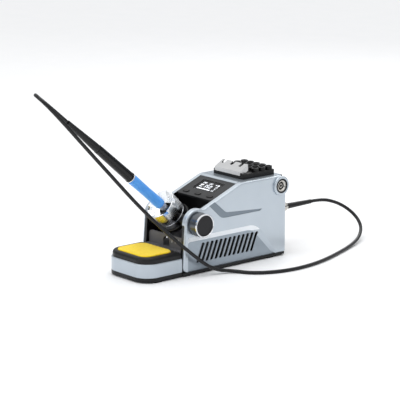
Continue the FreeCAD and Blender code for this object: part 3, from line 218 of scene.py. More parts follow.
def shell_paint():
    """The same paint on the side shells, with a painted highlight on the ledge, a darker grey on the sunk
    band, painted shade on the vent panel and on the cheeks of the slots, and black on the shells' inner
    faces."""
    material = painted_alloy("shell_paint", "#bac4cd", "#c6cfd7")
    tree = material.node_tree
    surface = tree.nodes["Principled BSDF"]
    spot = tree.nodes["Texture Coordinate"].outputs["Object"]
    axes = add(tree, "ShaderNodeSeparateXYZ", inputs={"Vector": spot})
    aside = add(tree, "ShaderNodeMath", {"operation": "ABSOLUTE"}, {0: axes.outputs["X"]}).outputs[0]
    colour = surface.inputs["Base Color"].links[0].from_socket
    fields = [
        ("COMPARE", BAND_FLOOR*MM, "GREATER_THAN", PIVOT.z, "#7b8690"),
        # Painted shade: the vent panel, set back, is coloured a darker grey.
        ("COMPARE", VENT_PANEL*MM, "LESS_THAN", PIVOT.z, "#9ba6b0"),
        # Painted shade in the slots: their cheeks are coloured near black.
        ("LESS_THAN", (VENT_PANEL - 0.2)*MM, "LESS_THAN", PIVOT.z, "#2c2e30"),
        ("LESS_THAN", (INNER_FACE + 0.1)*MM, "GREATER_THAN", 0.0, "#131314"),
    ]
    # Painted highlight: the ledge is coloured near white, as if it caught the light.
    on_ledge_highlight = 1.0
    for reach, (middle, half) in zip((aside, axes.outputs["Y"], axes.outputs["Z"]), LEDGE):
        near = add(tree, "ShaderNodeMath", {"operation": "COMPARE"}, {0: reach, 1: middle*MM, 2: half*MM})
        on_ledge_highlight = add(tree, "ShaderNodeMath", {"operation": "MULTIPLY"}, {
            0: on_ledge_highlight, 1: near.outputs[0]}).outputs[0]
    colour = add(tree, "ShaderNodeMix", {"data_type": "RGBA"}, {
        "Factor": on_ledge_highlight, 6: colour, 7: srgb("#f2f6fa")}).outputs[2]
    for reach_test, reach, height_test, height, code in fields:
        near = add(tree, "ShaderNodeMath", {"operation": reach_test}, {0: aside, 1: reach, 2: FACE_SLACK*MM})
        level = add(tree, "ShaderNodeMath", {"operation": height_test}, {0: axes.outputs["Z"], 1: height})
        both = add(tree, "ShaderNodeMath", {"operation": "MULTIPLY"}, {
            0: near.outputs[0], 1: level.outputs[0]})
        colour = add(tree, "ShaderNodeMix", {"data_type": "RGBA"}, {
            "Factor": both.outputs[0], 6: colour, 7: srgb(code)}).outputs[2]
    tree.links.new(colour, surface.inputs["Base Color"])
    return material


def moulded_abs(name, colour, low, high):
    """ABS or nylon from a spark-eroded mould: an even fine grain that breaks up the highlight."""
    material, tree, surface, spot = new_material(name)
    set_surface(surface, Base_Color=srgb(colour), IOR=1.53, Specular_IOR_Level=0.3)
    grain = add(tree, "ShaderNodeTexNoise", inputs={"Vector": spot, "Scale": per_mm(0.5), "Detail": 3.0})
    wear = add(tree, "ShaderNodeTexNoise", inputs={"Vector": spot, "Scale": per_mm(18), "Detail": 4.0})
    rough = add(tree, "ShaderNodeMapRange", inputs={
        "Value": wear.outputs["Fac"], "To Min": low, "To Max": high})
    bump = add(tree, "ShaderNodeBump", inputs={
        "Height": grain.outputs["Fac"], "Strength": 0.35, "Distance": 0.04*MM})
    tree.links.new(rough.outputs[0], surface.inputs["Roughness"])
    tree.links.new(bump.outputs[0], surface.inputs["Normal"])
    return material


def silicone_sleeve():
    """Translucent blue silicone rubber: soft, slightly see-through at the edges, with a powdery sheen."""
    material, tree, surface, spot = new_material("silicone_sleeve")
    set_surface(surface, IOR=1.42, Subsurface_Weight=0.25, Subsurface_Radius=(0.4, 0.8, 1.0),
                Sheen_Weight=0.25, Sheen_Roughness=0.4)
    surface.inputs["Subsurface Scale"].default_value = 1.2*MM
    cloud = add(tree, "ShaderNodeTexNoise", inputs={"Vector": spot, "Scale": per_mm(14), "Detail": 3.0})
    shade = add(tree, "ShaderNodeMix", {"data_type": "RGBA"}, {
        "Factor": cloud.outputs["Fac"], 6: srgb("#3f93e8"), 7: srgb("#62acf3")})
    dust = add(tree, "ShaderNodeTexNoise", inputs={"Vector": spot, "Scale": per_mm(0.8), "Detail": 3.0})
    rough = add(tree, "ShaderNodeMapRange", inputs={
        "Value": dust.outputs["Fac"], "To Min": 0.30, "To Max": 0.46})
    bump = add(tree, "ShaderNodeBump", inputs={
        "Height": dust.outputs["Fac"], "Strength": 0.2, "Distance": 0.03*MM})
    tree.links.new(shade.outputs[2], surface.inputs["Base Color"])
    tree.links.new(rough.outputs[0], surface.inputs["Roughness"])
    tree.links.new(bump.outputs[0], surface.inputs["Normal"])
    return material


def plated_metal(name, colour, low, high):
    """Plated and polished metal: mirror-like, with a faint handling haze and hairline scratches."""
    material, tree, surface, spot = new_material(name)
    set_surface(surface, Base_Color=srgb(colour), Metallic=1.0)
    haze = add(tree, "ShaderNodeTexNoise", inputs={"Vector": spot, "Scale": per_mm(9), "Detail": 4.0})
    rough = add(tree, "ShaderNodeMapRange", inputs={
        "Value": haze.outputs["Fac"], "To Min": low, "To Max": high})
    stretch = add(tree, "ShaderNodeMapping", inputs={"Vector": spot, "Scale": (1.0, 0.05, 1.0)})
    hairs = add(tree, "ShaderNodeTexNoise", inputs={
        "Vector": stretch.outputs[0], "Scale": per_mm(0.4), "Detail": 2.0})
    bump = add(tree, "ShaderNodeBump", inputs={
        "Height": hairs.outputs["Fac"], "Strength": 0.05, "Distance": 0.01*MM})
    tree.links.new(rough.outputs[0], surface.inputs["Roughness"])
    tree.links.new(bump.outputs[0], surface.inputs["Normal"])
    return material


def brushed_stainless():
    """Stainless sheet brushed along its width: long fine scratches that draw the highlight out."""
    material, tree, surface, spot = new_material("brushed_stainless")
    set_surface(surface, Base_Color=srgb("#c4c5c6"), Metallic=1.0, Anisotropic=0.5)
    stretch = add(tree, "ShaderNodeMapping", inputs={"Vector": spot, "Scale": (0.02, 1.0, 1.0)})
    grain = add(tree, "ShaderNodeTexNoise", inputs={
        "Vector": stretch.outputs[0], "Scale": per_mm(0.25), "Detail": 3.0})
    rough = add(tree, "ShaderNodeMapRange", inputs={
        "Value": grain.outputs["Fac"], "To Min": 0.22, "To Max": 0.42})
    bump = add(tree, "ShaderNodeBump", inputs={
        "Height": grain.outputs["Fac"], "Strength": 0.25, "Distance": 0.012*MM})
    tree.links.new(rough.outputs[0], surface.inputs["Roughness"])
    tree.links.new(bump.outputs[0], surface.inputs["Normal"])
    return material


def spun_anodised():
    """Black anodised disc with fine lathe rings about the tilt axis, which catch a fan of light."""
    material, tree, surface, spot = new_material("spun_anodised")
    set_surface(surface, Base_Color=srgb("#2b2b2d"), Metallic=0.7)
    centred = add(tree, "ShaderNodeVectorMath", {"operation": "SUBTRACT"}, {0: spot, 1: tuple(PIVOT)})
    flat = add(tree, "ShaderNodeVectorMath", {"operation": "MULTIPLY"}, {0: centred.outputs[0], 1: (0, 1, 1)})
    reach = add(tree, "ShaderNodeVectorMath", {"operation": "LENGTH"}, {0: flat.outputs[0]})
    pitch = 0.5*MM
    turns = add(tree, "ShaderNodeMath", {"operation": "MULTIPLY"}, {
        0: reach.outputs["Value"], 1: 2*math.pi/pitch})
    rings = add(tree, "ShaderNodeMath", {"operation": "SINE"}, {0: turns.outputs[0]})
    rough = add(tree, "ShaderNodeMapRange", inputs={
        "Value": rings.outputs[0], "From Min": -1.0, "To Min": 0.28, "To Max": 0.42})
    bump = add(tree, "ShaderNodeBump", inputs={
        "Height": rings.outputs[0], "Strength": 0.2, "Distance": 0.01*MM})
    tree.links.new(rough.outputs[0], surface.inputs["Roughness"])
    tree.links.new(bump.outputs[0], surface.inputs["Normal"])
    return material


def matt_rubber(name, colour, low, high):
    """Moulded black rubber: dull, slightly uneven, with a bloom of grey on its skin."""
    material, tree, surface, spot = new_material(name)
    set_surface(surface, IOR=1.5, Specular_IOR_Level=0.35)
    bloom = add(tree, "ShaderNodeTexNoise", inputs={"Vector": spot, "Scale": per_mm(12), "Detail": 5.0})
    shade = add(tree, "ShaderNodeMix", {"data_type": "RGBA"}, {
        "Factor": bloom.outputs["Fac"], 6: srgb(colour), 7: srgb("#18181a")})
    skin = add(tree, "ShaderNodeTexNoise", inputs={"Vector": spot, "Scale": per_mm(0.6), "Detail": 3.0})
    rough = add(tree, "ShaderNodeMapRange", inputs={
        "Value": skin.outputs["Fac"], "To Min": low, "To Max": high})
    bump = add(tree, "ShaderNodeBump", inputs={
        "Height": skin.outputs["Fac"], "Strength": 0.3, "Distance": 0.03*MM})
    tree.links.new(shade.outputs[2], surface.inputs["Base Color"])
    tree.links.new(rough.outputs[0], surface.inputs["Roughness"])
    tree.links.new(bump.outputs[0], surface.inputs["Normal"])
    return material


def cellulose_sponge():
    """Yellow cellulose sponge, dry and pressed: soft and matt, with painted shade darkening it down in its
    open cells.
    """
    material, tree, surface, spot = new_material("cellulose_sponge")
    set_surface(surface, Roughness=0.92, IOR=1.4, Subsurface_Weight=0.35, Subsurface_Radius=(1.0, 0.7, 0.2),
                Sheen_Weight=0.2)
    surface.inputs["Subsurface Scale"].default_value = 1.5*MM
    cloud = add(tree, "ShaderNodeTexNoise", inputs={"Vector": spot, "Scale": per_mm(7), "Detail": 5.0})
    shade = add(tree, "ShaderNodeMix", {"data_type": "RGBA"}, {
        "Factor": cloud.outputs["Fac"], 6: srgb("#efc717"), 7: srgb("#fbdd2e")})
    # Painted shade: the colour darkens with the depth of each open cell.
    cell = add(tree, "ShaderNodeAttribute", {"attribute_name": "cell_depth"})
    colour = add(tree, "ShaderNodeMix", {"data_type": "RGBA"}, {
        "Factor": cell.outputs["Fac"], 6: shade.outputs[2], 7: srgb("#c08d0c")})
    fibre = add(tree, "ShaderNodeTexNoise", inputs={"Vector": spot, "Scale": per_mm(0.5), "Detail": 4.0})
    bump = add(tree, "ShaderNodeBump", inputs={
        "Height": fibre.outputs["Fac"], "Strength": 0.5, "Distance": 0.15*MM})
    tree.links.new(colour.outputs[2], surface.inputs["Base Color"])
    tree.links.new(bump.outputs[0], surface.inputs["Normal"])
    return material


def smoked_acrylic():
    """Thin smoked acrylic over the display: a dark glossy film that the lit figures show through, with a
    trace of fingerprints."""
    material, tree, surface, spot = new_material("smoked_acrylic")
    set_surface(surface, Base_Color=srgb("#08080a"), IOR=1.49, Alpha=0.22)
    smear = add(tree, "ShaderNodeTexNoise", inputs={"Vector": spot, "Scale": per_mm(11), "Detail": 5.0})
    rough = add(tree, "ShaderNodeMapRange", inputs={
        "Value": smear.outputs["Fac"], "To Min": 0.05, "To Max": 0.14})
    tree.links.new(rough.outputs[0], surface.inputs["Roughness"])
    return material


def display_glow():
    """The display's lit segments: cool white, a little uneven from edge to edge."""
    material, tree, surface, spot = new_material("display_glow")
    set_surface(surface, Base_Color=srgb("#f4f7fa"), Roughness=0.6, Emission_Color=srgb("#f2f6ff"))
    uneven = add(tree, "ShaderNodeTexNoise", inputs={"Vector": spot, "Scale": per_mm(6), "Detail": 1.0})
    light = add(tree, "ShaderNodeMapRange", inputs={
        "Value": uneven.outputs["Fac"], "To Min": 1.5, "To Max": 2.1})
    tree.links.new(light.outputs[0], surface.inputs["Emission Strength"])
    return material


def solder_mask():
    """Green solder mask over copper: glossy, with the tracks showing as a paler grid."""
    material, tree, surface, spot = new_material("solder_mask")
    set_surface(surface, IOR=1.5, Roughness=0.25)
    tracks = add(tree, "ShaderNodeTexBrick", inputs={
        "Vector": spot, "Scale": per_mm(6), "Mortar Size": 0.06, "Color1": srgb("#0d4a2a"),
        "Color2": srgb("#125a33"), "Mortar": srgb("#2c8a55")})
    bump = add(tree, "ShaderNodeBump", inputs={
        "Height": tracks.outputs["Fac"], "Strength": 0.3, "Distance": 0.05*MM})
    tree.links.new(tracks.outputs["Color"], surface.inputs["Base Color"])
    tree.links.new(bump.outputs[0], surface.inputs["Normal"])
    return material


def laminated_core():
    """Varnished steel laminations with brown varnish between them. Real ones are half a millimetre thick;
    these are drawn about 3 mm apart, so that they show."""
    material, tree, surface, spot = new_material("laminated_core")
    set_surface(surface, Metallic=0.3, Roughness=0.45)
    sheets = add(tree, "ShaderNodeTexWave", {"bands_direction": "Z"}, {
        "Vector": spot, "Scale": per_mm(10), "Distortion": 0.4})
    shade = add(tree, "ShaderNodeMix", {"data_type": "RGBA"}, {
        "Factor": sheets.outputs["Fac"], 6: srgb("#4a3526"), 7: srgb("#7d6a58")})
    bump = add(tree, "ShaderNodeBump", inputs={
        "Height": sheets.outputs["Fac"], "Strength": 0.4, "Distance": 0.1*MM})
    tree.links.new(shade.outputs[2], surface.inputs["Base Color"])
    tree.links.new(bump.outputs[0], surface.inputs["Normal"])
    return material


PAINT = painted_alloy("painted_alloy", "#b0bac3", "#bcc5cd")
SHELL_PAINT = shell_paint()
CASE_BLACK = moulded_abs("textured_abs", "#0d0d0e", 0.30, 0.42)
PANEL_BLACK = moulded_abs("matt_panel_abs", "#242527", 0.36, 0.46)
RECESS_GREY = moulded_abs("recess_abs", "#606063", 0.45, 0.6)
HANDLE_BLACK = moulded_abs("polished_abs", "#0a0a0b", 0.18, 0.28)
KEY_BLACK = moulded_abs("key_abs", "#0e0e0f", 0.30, 0.42)
MARK_WHITE = moulded_abs("pale_marks", "#c9cacb", 0.5, 0.6)
GREY_PLASTIC = moulded_abs("grey_nylon", "#4c4e52", 0.45, 0.6)
SILICONE = silicone_sleeve()
CHROME = plated_metal("bright_chrome", "#dcdee1", 0.12, 0.18)
CROWN_CHROME = plated_metal("satin_chrome", "#eef0f2", 0.22, 0.30)
KNOB_CHROME = plated_metal("black_chrome", "#63676c", 0.24, 0.34)
NICKEL = plated_metal("nickel_plate", "#c9c6c0", 0.16, 0.28)
BRASS = plated_metal("turned_brass", "#d8b25c", 0.22, 0.34)
ALUMINIUM = plated_metal("extruded_aluminium", "#cfd1d4", 0.35, 0.5)
STAINLESS = brushed_stainless()
SPUN_BLACK = spun_anodised()
FOOT_RUBBER = matt_rubber("foot_rubber", "#141416", 0.6, 0.8)
BOOT_RUBBER = matt_rubber("boot_rubber", "#0a0a0b", 0.34, 0.46)
CORD_JACKET = matt_rubber("cord_silicone", "#0a0a0b", 0.28, 0.38)
SPONGE_YELLOW = cellulose_sponge()
ACRYLIC = smoked_acrylic()
GLOW = display_glow()
BOARD_GREEN = solder_mask()
CORE_STEEL = laminated_core()

FINISHES = {
    PAINT: ["tray_shell", "top_deck"],
    SHELL_PAINT: ["right_side_shell", "left_side_shell"],
    CASE_BLACK: ["base_cover", "tray_insert", "inner_housing", "rear_panel", "tip_rack", "tip_bushes",
                 "holder_liner", "holder_yoke", "holder_end_cap", "mains_inlet", "switch_frame"],
    PANEL_BLACK: ["display_fascia"],
    RECESS_GREY: ["recess_floor"],
    KEY_BLACK: ["down_button", "set_button", "up_button", "switch_rocker", "display_screen"],
    HANDLE_BLACK: ["iron_barrel"],
    GREY_PLASTIC: ["plug_insert", "socket_pins", "tact_switches"],
    CROWN_CHROME: ["crown_ring"],
    CHROME: ["holder_tube", "knob_ring_bright"],
    KNOB_CHROME: ["knob_shell"],
    SPUN_BLACK: ["knob_face"],
    STAINLESS: ["tip_puller_plate", "iron_core", "iron_collar", "iron_tip", "base_screws",
                "rear_panel_screws", "right_pivot_pin", "left_pivot_pin", "friction_washers"],
    NICKEL: ["earth_jack", "earth_jack_nut", "iron_socket", "socket_nut", "plug_shell", "plug_lock_ring"],
    BRASS: ["inlet_contacts", "board_standoffs"],
    FOOT_RUBBER: ["foot_frame"],
    BOOT_RUBBER: ["iron_boot", "plug_boot"],
    ACRYLIC: ["display_window"],
    BOARD_GREEN: ["main_board", "display_board"],
    CORE_STEEL: ["transformer"],
    ALUMINIUM: ["heat_sink", "filter_capacitors"],
}


def finish_cad_nodes():
    """Gives every CAD node the material of what it is made of."""
    for material, names in FINISHES.items():
        for name in names:
            for holder in NODES[name].material_slots:
                holder.material = material


# ---- Camera, lights and floor -----------------------------------------------------------------------
def make_camera():
    """A long lens from the front right, a little above the deck."""
    azimuth = math.radians(49.5)
    elevation = math.radians(13)
    distance = 2.69
    target = Vector((-0.0139, 0.0147, 0.0870))
    back = Vector((math.sin(azimuth)*math.cos(elevation), -math.cos(azimuth)*math.cos(elevation),
                   math.sin(elevation)))
    camera = bpy.data.objects.new("camera", bpy.data.cameras.new("camera"))
    camera.data.lens = 171
    camera.data.sensor_width = 36
    camera.location = target + distance*back
    camera.rotation_mode = "QUATERNION"
    camera.rotation_quaternion = (-back).to_track_quat("-Z", "Y")
    bpy.context.scene.collection.objects.link(camera)
    bpy.context.scene.camera = camera


def make_light(name, spot, target, size, power):
    """A rectangular softbox at a spot, turned to face its target."""
    lamp = bpy.data.lights.new(name, "AREA")
    lamp.shape = "RECTANGLE"
    lamp.size, lamp.size_y = size
    lamp.energy = power
    light = bpy.data.objects.new(name, lamp)
    light.location = spot
    aim = Vector(target) - Vector(spot)
    light.rotation_mode = "QUATERNION"
    light.rotation_quaternion = aim.to_track_quat("-Z", "Y")
    bpy.context.scene.collection.objects.link(light)


def make_studio():
    """A pale floor under a grey-to-white sky, three softboxes, and colours shown as they are."""
    bpy.context.scene.view_settings.view_transform = "Standard"
    world = bpy.data.worlds.new("studio")
    world.use_nodes = True
    tree = world.node_tree
    tree.nodes.clear()
    direction = add(tree, "ShaderNodeTexCoord").outputs["Generated"]
    height = add(tree, "ShaderNodeSeparateXYZ", inputs={"Vector": direction}).outputs["Z"]
    tone = add(tree, "ShaderNodeValToRGB", inputs={"Fac": height})
    tone.color_ramp.elements[0].position = 0.12
    tone.color_ramp.elements[0].color = srgb("#70767e")
    tone.color_ramp.elements[1].position = 0.62
    tone.color_ramp.elements[1].color = srgb("#ffffff")
    sky = add(tree, "ShaderNodeBackground", inputs={"Color": tone.outputs["Color"], "Strength": 1.12})
    add(tree, "ShaderNodeOutputWorld", inputs={"Surface": sky.outputs[0]})
    bpy.context.scene.world = world

    middle = (0, 0, 0.08)
    make_light("overhead_softbox", (0.1, -0.2, 1.4), middle, size=(0.9, 0.9), power=5)
    make_light("front_softbox", (-0.3, -1.7, 0.8), middle, size=(0.35, 1.0), power=4)
    make_light("rear_softbox", (-0.9, 1.3, 1.1), middle, size=(0.5, 0.8), power=4)

    floor_radius = 12
    floor_material, floor_tree, floor_surface, spot = new_material("pale_sweep")
    speckle = add(floor_tree, "ShaderNodeTexNoise", inputs={
        "Vector": spot, "Scale": per_mm(60), "Detail": 2.0})
    shade = add(floor_tree, "ShaderNodeMix", {"data_type": "RGBA"}, {
        "Factor": speckle.outputs["Fac"], 6: srgb("#f4f5f6"), 7: srgb("#f8f8f9")})
    floor_tree.links.new(shade.outputs[2], floor_surface.inputs["Base Color"])
    set_surface(floor_surface, Roughness=0.7)
    bm = bmesh.new()
    bmesh.ops.create_circle(bm, cap_ends=True, radius=floor_radius, segments=96)
    floor = from_bmesh("floor", bm, floor_material, smooth=False)


# ---- Cord -------------------------------------------------------------------------------------------
CORD_RADIUS = 2.5*MM
BOOT_END = 243*MM  # from the tilt axis to the end of the iron's boot
PLUG_BOOT_LOW, PLUG_BOOT_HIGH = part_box("plug_boot")
SOCKET_HEIGHT = (PLUG_BOOT_LOW.z + PLUG_BOOT_HIGH.z)/2
CORD_ROUTE = [
    PIVOT + BOOT_END*IRON_AXIS, PIVOT + (BOOT_END + 0.033)*IRON_AXIS,
    (0.0005, -0.2775, 0.2725), (0.0169, -0.2880, 0.2752), (0.0331, -0.2836, 0.2650),
    (0.0335, -0.2585, 0.2395), (0.0355, -0.2220, 0.1995), (0.0390, -0.1845, 0.1585),
    (0.0440, -0.1460, 0.1155), (0.0495, -0.1055, 0.0750), (0.0555, -0.0660, 0.0395),
    (0.0610, -0.0270, 0.0075), (0.0700, 0.0030, 0.0026), (0.0950, 0.0140, 0.0026),
    (0.1130, 0.0430, 0.0026), (0.1200, 0.0840, 0.0026), (0.1120, 0.1380, 0.0026),
    (0.0870, 0.2040, 0.0026), (0.0720, 0.2380, 0.0039), (0.0600, 0.2610, 0.0070),
    (0.0445, 0.2810, 0.0140), (0.0315, 0.2890, 0.0220), (0.0205, 0.2880, 0.0315),
    (0.0110, 0.2795, 0.0415), (0.0045, 0.2640, 0.0505),
    (0, PLUG_BOOT_HIGH.y + 0.023, SOCKET_HEIGHT), (0, PLUG_BOOT_HIGH.y, SOCKET_HEIGHT),
]


def smooth_route(route):
    """Points along the NURBS spline that a route's points pull on."""
    curve = bpy.data.curves.new("route", "CURVE")
    curve.dimensions = "3D"
    spline = curve.splines.new("NURBS")
    spline.points.add(len(route) - 1)
    for point, spot in zip(spline.points, route):
        point.co = (*spot, 1)
    spline.order_u = 3
    spline.use_endpoint_u = True
    curve.resolution_u = 14
    carrier = mesh_object("route", curve)
    bpy.context.view_layer.update()
    graph = bpy.context.evaluated_depsgraph_get()
    mesh = bpy.data.meshes.new_from_object(carrier.evaluated_get(graph))
    points = [vertex.co.copy() for vertex in mesh.vertices]
    bpy.data.objects.remove(carrier)
    return points


def tube_along(name, points, radius, material, sides=20):
    """A closed tube whose ring of faces is carried along the points without twisting."""
    bm = bmesh.new()
    rings = []
    across = None
    for i, spot in enumerate(points):
        ahead = (points[min(i + 1, len(points) - 1)] - points[max(i - 1, 0)]).normalized()
        if across is None:
            across = ahead.orthogonal().normalized()
        across = (across - across.dot(ahead)*ahead).normalized()
        other = ahead.cross(across)
        rings.append([bm.verts.new(spot + radius*(math.cos(a)*across + math.sin(a)*other))
                      for a in (2*math.pi*k/sides for k in range(sides))])
    for ring, following in zip(rings, rings[1:]):
        for k in range(sides):
            j = (k + 1) % sides
            bm.faces.new((ring[k], ring[j], following[j], following[k]))
    bm.faces.new(rings[0])
    bm.faces.new(rings[-1])
    return from_bmesh(name, bm, material)


def make_cord():
    """The iron's cord: out of its boot, down past the tray, along the table and up into the rear plug."""
    points = smooth_route(CORD_ROUTE)
    cord = tube_along("silicone_cord", points, CORD_RADIUS, CORD_JACKET)
    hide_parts("iron_cord")
    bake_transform(cord)


# ---- Sponge -----------------------------------------------------------------------------------------
def rounded_outline(low, high, radius, steps=8):
    """Points round a rectangle with rounded corners, in order."""
    centres = [((high.x - radius, high.y - radius), 0), ((low.x + radius, high.y - radius), 90),
               ((low.x + radius, low.y + radius), 180), ((high.x - radius, low.y + radius), 270)]
    outline = []
    for (x, y), start in centres:
        for step in range(steps + 1):
            angle = math.radians(start + 90*step/steps)
            outline.append((x + radius*math.cos(angle), y + radius*math.sin(angle)))
    return outline


def make_sponge():
    """A pressed sponge: crowned a little, with soft shoulders and shallow open cells in its skin."""
    low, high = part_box("sponge")
    corner = 12*MM
    shoulder = 1.6*MM
    crown = 0.7*MM
    cell_depth = 0.35*MM
    wide_cell, wide_mouth = 2.6*MM, 0.28
    fine_cell, fine_mouth, fine_depth = 1.1*MM, 0.4, 0.7
    ripple, ripple_size = 0.12*MM, 1.5*MM
    bm = bmesh.new()
    outline = rounded_outline(low, high, corner)
    floor = bm.faces.new([bm.verts.new((x, y, low.z)) for x, y in outline])
    lifted = bmesh.ops.extrude_face_region(bm, geom=[floor])["geom"]
    top = [item for item in lifted if isinstance(item, bmesh.types.BMVert)]
    bmesh.ops.translate(bm, verts=top, vec=(0, 0, high.z - low.z))
    rim = [edge for edge in bm.edges if all(vertex.co.z > high.z - 0.1*MM for vertex in edge.verts)]
    bmesh.ops.bevel(bm, geom=rim, offset=shoulder, segments=5, affect="EDGES", profile=0.5)
    blank = from_bmesh("sponge_blank", bm, SPONGE_YELLOW)
    remesh = blank.modifiers.new("remesh", "REMESH")
    remesh.mode = "VOXEL"
    remesh.voxel_size = 0.55*MM
    bpy.context.view_layer.update()
    graph = bpy.context.evaluated_depsgraph_get()
    mesh = bpy.data.meshes.new_from_object(blank.evaluated_get(graph))
    bpy.data.objects.remove(blank)

    middle = (low + high)/2
    half = (high - low)/2
    cell_shade_depths = []
    for vertex in mesh.vertices:
        spot = vertex.co
        wide = noise.voronoi(spot/wide_cell)[0][0]
        fine = noise.voronoi(spot/fine_cell)[0][0]
        cell = max(0, 1 - wide/wide_mouth, fine_depth - fine/fine_mouth)
        cell_shade_depths.append(min(1, cell))
        inward = cell_depth*cell + ripple*noise.noise(spot/ripple_size)
        rise = (1 - ((spot.x - middle.x)/half.x)**2)*(1 - ((spot.y - middle.y)/half.y)**2)
        share = (spot.z - low.z)/(high.z - low.z)
        vertex.co = spot - inward*vertex.normal*share + Vector((0, 0, crown*max(0, rise)*share))
    # Each spot's depth in a cell, kept for the painted shade in the cells.
    mesh.attributes.new("cell_depth", "FLOAT", "POINT").data.foreach_set("value", cell_shade_depths)
    mesh.materials.clear()
    mesh.materials.append(SPONGE_YELLOW)
    mesh.shade_smooth()
    sponge = mesh_object("cellulose_sponge", mesh)
    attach(sponge, "cleaning_sponge")
    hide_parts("sponge")


# ---- Iron -------------------------------------------------------------------------------------------
def make_grip():
    """The silicone sleeve: a faint waist for the fingers, rounded ends, and a bright ring behind it."""
    low, high = local_box("iron_grip", ON_IRON)
    start, end = low.z/MM, high.z/MM
    outer = high.x/MM
    bore = 5.0
    waist = 0.45
    nose, nose_steps = 3.0, 9
    side_steps = 40
    rim, rim_middle = 0.8, 0.3
    outline = [(bore, start), (outer - nose, start)]
    for step in range(1, nose_steps + 1):
        angle = math.radians(90*step/nose_steps)
        outline.append((outer - nose + nose*math.sin(angle), start + nose - nose*math.cos(angle)))
    length = end - start - nose
    for step in range(1, side_steps):
        share = step/side_steps
        swell = outer - waist*math.sin(math.pi*share)**2
        outline.append((swell, start + nose + share*length))
    outline += [(outer, end - rim), (outer - rim_middle, end - rim_middle), (outer - rim, end), (bore, end)]
    grip = turned("silicone_grip", outline, ON_IRON, SILICONE)
    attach(grip, "iron")
    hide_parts("iron_grip")

    trim_outline = [(7.2, -0.6), (7.75, -0.4), (7.85, 0.3), (7.75, 1.0), (7.2, 1.2)]
    trim = turned("grip_trim_ring", [(radius, end + past) for radius, past in trim_outline], ON_IRON,
                  CROWN_CHROME)
    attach(trim, "iron")


# ---- Display ----------------------------------------------------------------------------------------
SEGMENTS = {"0": "abcdef", "1": "bc", "2": "abged", "3": "abgcd", "4": "fgbc", "5": "afgcd", "6": "afgedc",
            "7": "abc", "8": "abcdefg", "9": "abcdfg"}


def plate_on_panel(bm, corners, under, thick):
    """A flat closed plate on the display: corners are (across, up the slope) in millimetres."""
    lower = [bm.verts.new(ON_PANEL @ Vector((x*MM, y*MM, under))) for x, y in corners]
    upper = [bm.verts.new(ON_PANEL @ Vector((x*MM, y*MM, under + thick))) for x, y in corners]
    bm.faces.new(lower[::-1])
    bm.faces.new(upper)
    for i in range(len(corners)):
        j = (i + 1) % len(corners)
        bm.faces.new((lower[i], lower[j], upper[j], upper[i]))


def bar_corners(x0, y0, x1, y1):
    """The corners of an upright rectangle, in order."""
    return [(x0, y0), (x1, y0), (x1, y1), (x0, y1)]


def digit_corners(figure, x, y, height):
    """The bars of a seven-segment figure whose lower left corner is at (x, y)."""
    width = 0.58*height
    stroke = 0.16*height
    half = height/2
    bars = {
        "a": (0, height - stroke, width, height), "g": (0, half - stroke/2, width, half + stroke/2),
        "d": (0, 0, width, stroke), "f": (0, half, stroke, height), "e": (0, 0, stroke, half),
        "b": (width - stroke, half, width, height), "c": (width - stroke, 0, width, half),
    }
    gap = 0.03*height
    for name in SEGMENTS[figure]:
        x0, y0, x1, y1 = bars[name]
        if name in "agd":
            yield bar_corners(x + x0 + stroke + gap, y + y0, x + x1 - stroke - gap, y + y1)
        else:
            yield bar_corners(x + x0, y + y0 + gap, x + x1, y + y1 - gap)


# What the display shows, as shares of its width and height: figures with their place and size, then bars as
# two opposite corners, then the corners of a diamond.
READINGS = [("350", 0.28, 0.31, 0.36), ("280", 0.06, 0.77, 0.17), ("300", 0.36, 0.77, 0.17),
            ("25", 0.80, 0.52, 0.16), ("75", 0.80, 0.29, 0.16), ("60", 0.80, 0.06, 0.16)]
BARS = [(0.06, 0.07, 0.72, 0.18), (0.06, 0.52, 0.20, 0.66), (0.06, 0.34, 0.20, 0.42),
        (0.70, 0.80, 0.75, 0.90)]
DIAMOND = [(0.84, 0.74), (0.90, 0.84), (0.84, 0.94), (0.78, 0.84)]


def make_display_figures():
    """What the display shows: a large temperature, small readings round it, and a power bar."""
    low, high = local_box("display_screen", ON_PANEL)
    left, bottom = low.x/MM, low.y/MM
    width, height = (high.x - low.x)/MM, (high.y - low.y)/MM
    bm = bmesh.new()
    under = high.z + 0.02*MM
    thick = 0.08*MM
    spacing = 0.75
    plates = []

    def on_screen(across, up):
        return left + across*width, bottom + up*height

    for text, across, up, share in READINGS:
        x, y = on_screen(across, up)
        size = share*height
        for i, figure in enumerate(text):
            plates.extend(digit_corners(figure, x + i*spacing*size, y, size))
    for x0, y0, x1, y1 in BARS:
        plates.append(bar_corners(*on_screen(x0, y0), *on_screen(x1, y1)))
    plates.append([on_screen(across, up) for across, up in DIAMOND])
    for corners in plates:
        plate_on_panel(bm, corners, under, thick)
    figures = from_bmesh("display_figures", bm, GLOW, smooth=False)
    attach(figures, "station")


# ---- Repeated details -------------------------------------------------------------------------------
def start_tree(name, sockets):
    """A Geometry Nodes tree with named inputs and one geometry output."""
    tree = bpy.data.node_groups.new(name, "GeometryNodeTree")
    for label, kind in sockets:
        tree.interface.new_socket(label, in_out="INPUT", socket_type=kind)
    tree.interface.new_socket("Material", in_out="INPUT", socket_type="NodeSocketMaterial")
    tree.interface.new_socket("Geometry", in_out="OUTPUT", socket_type="NodeSocketGeometry")
    return tree, add(tree, "NodeGroupInput").outputs


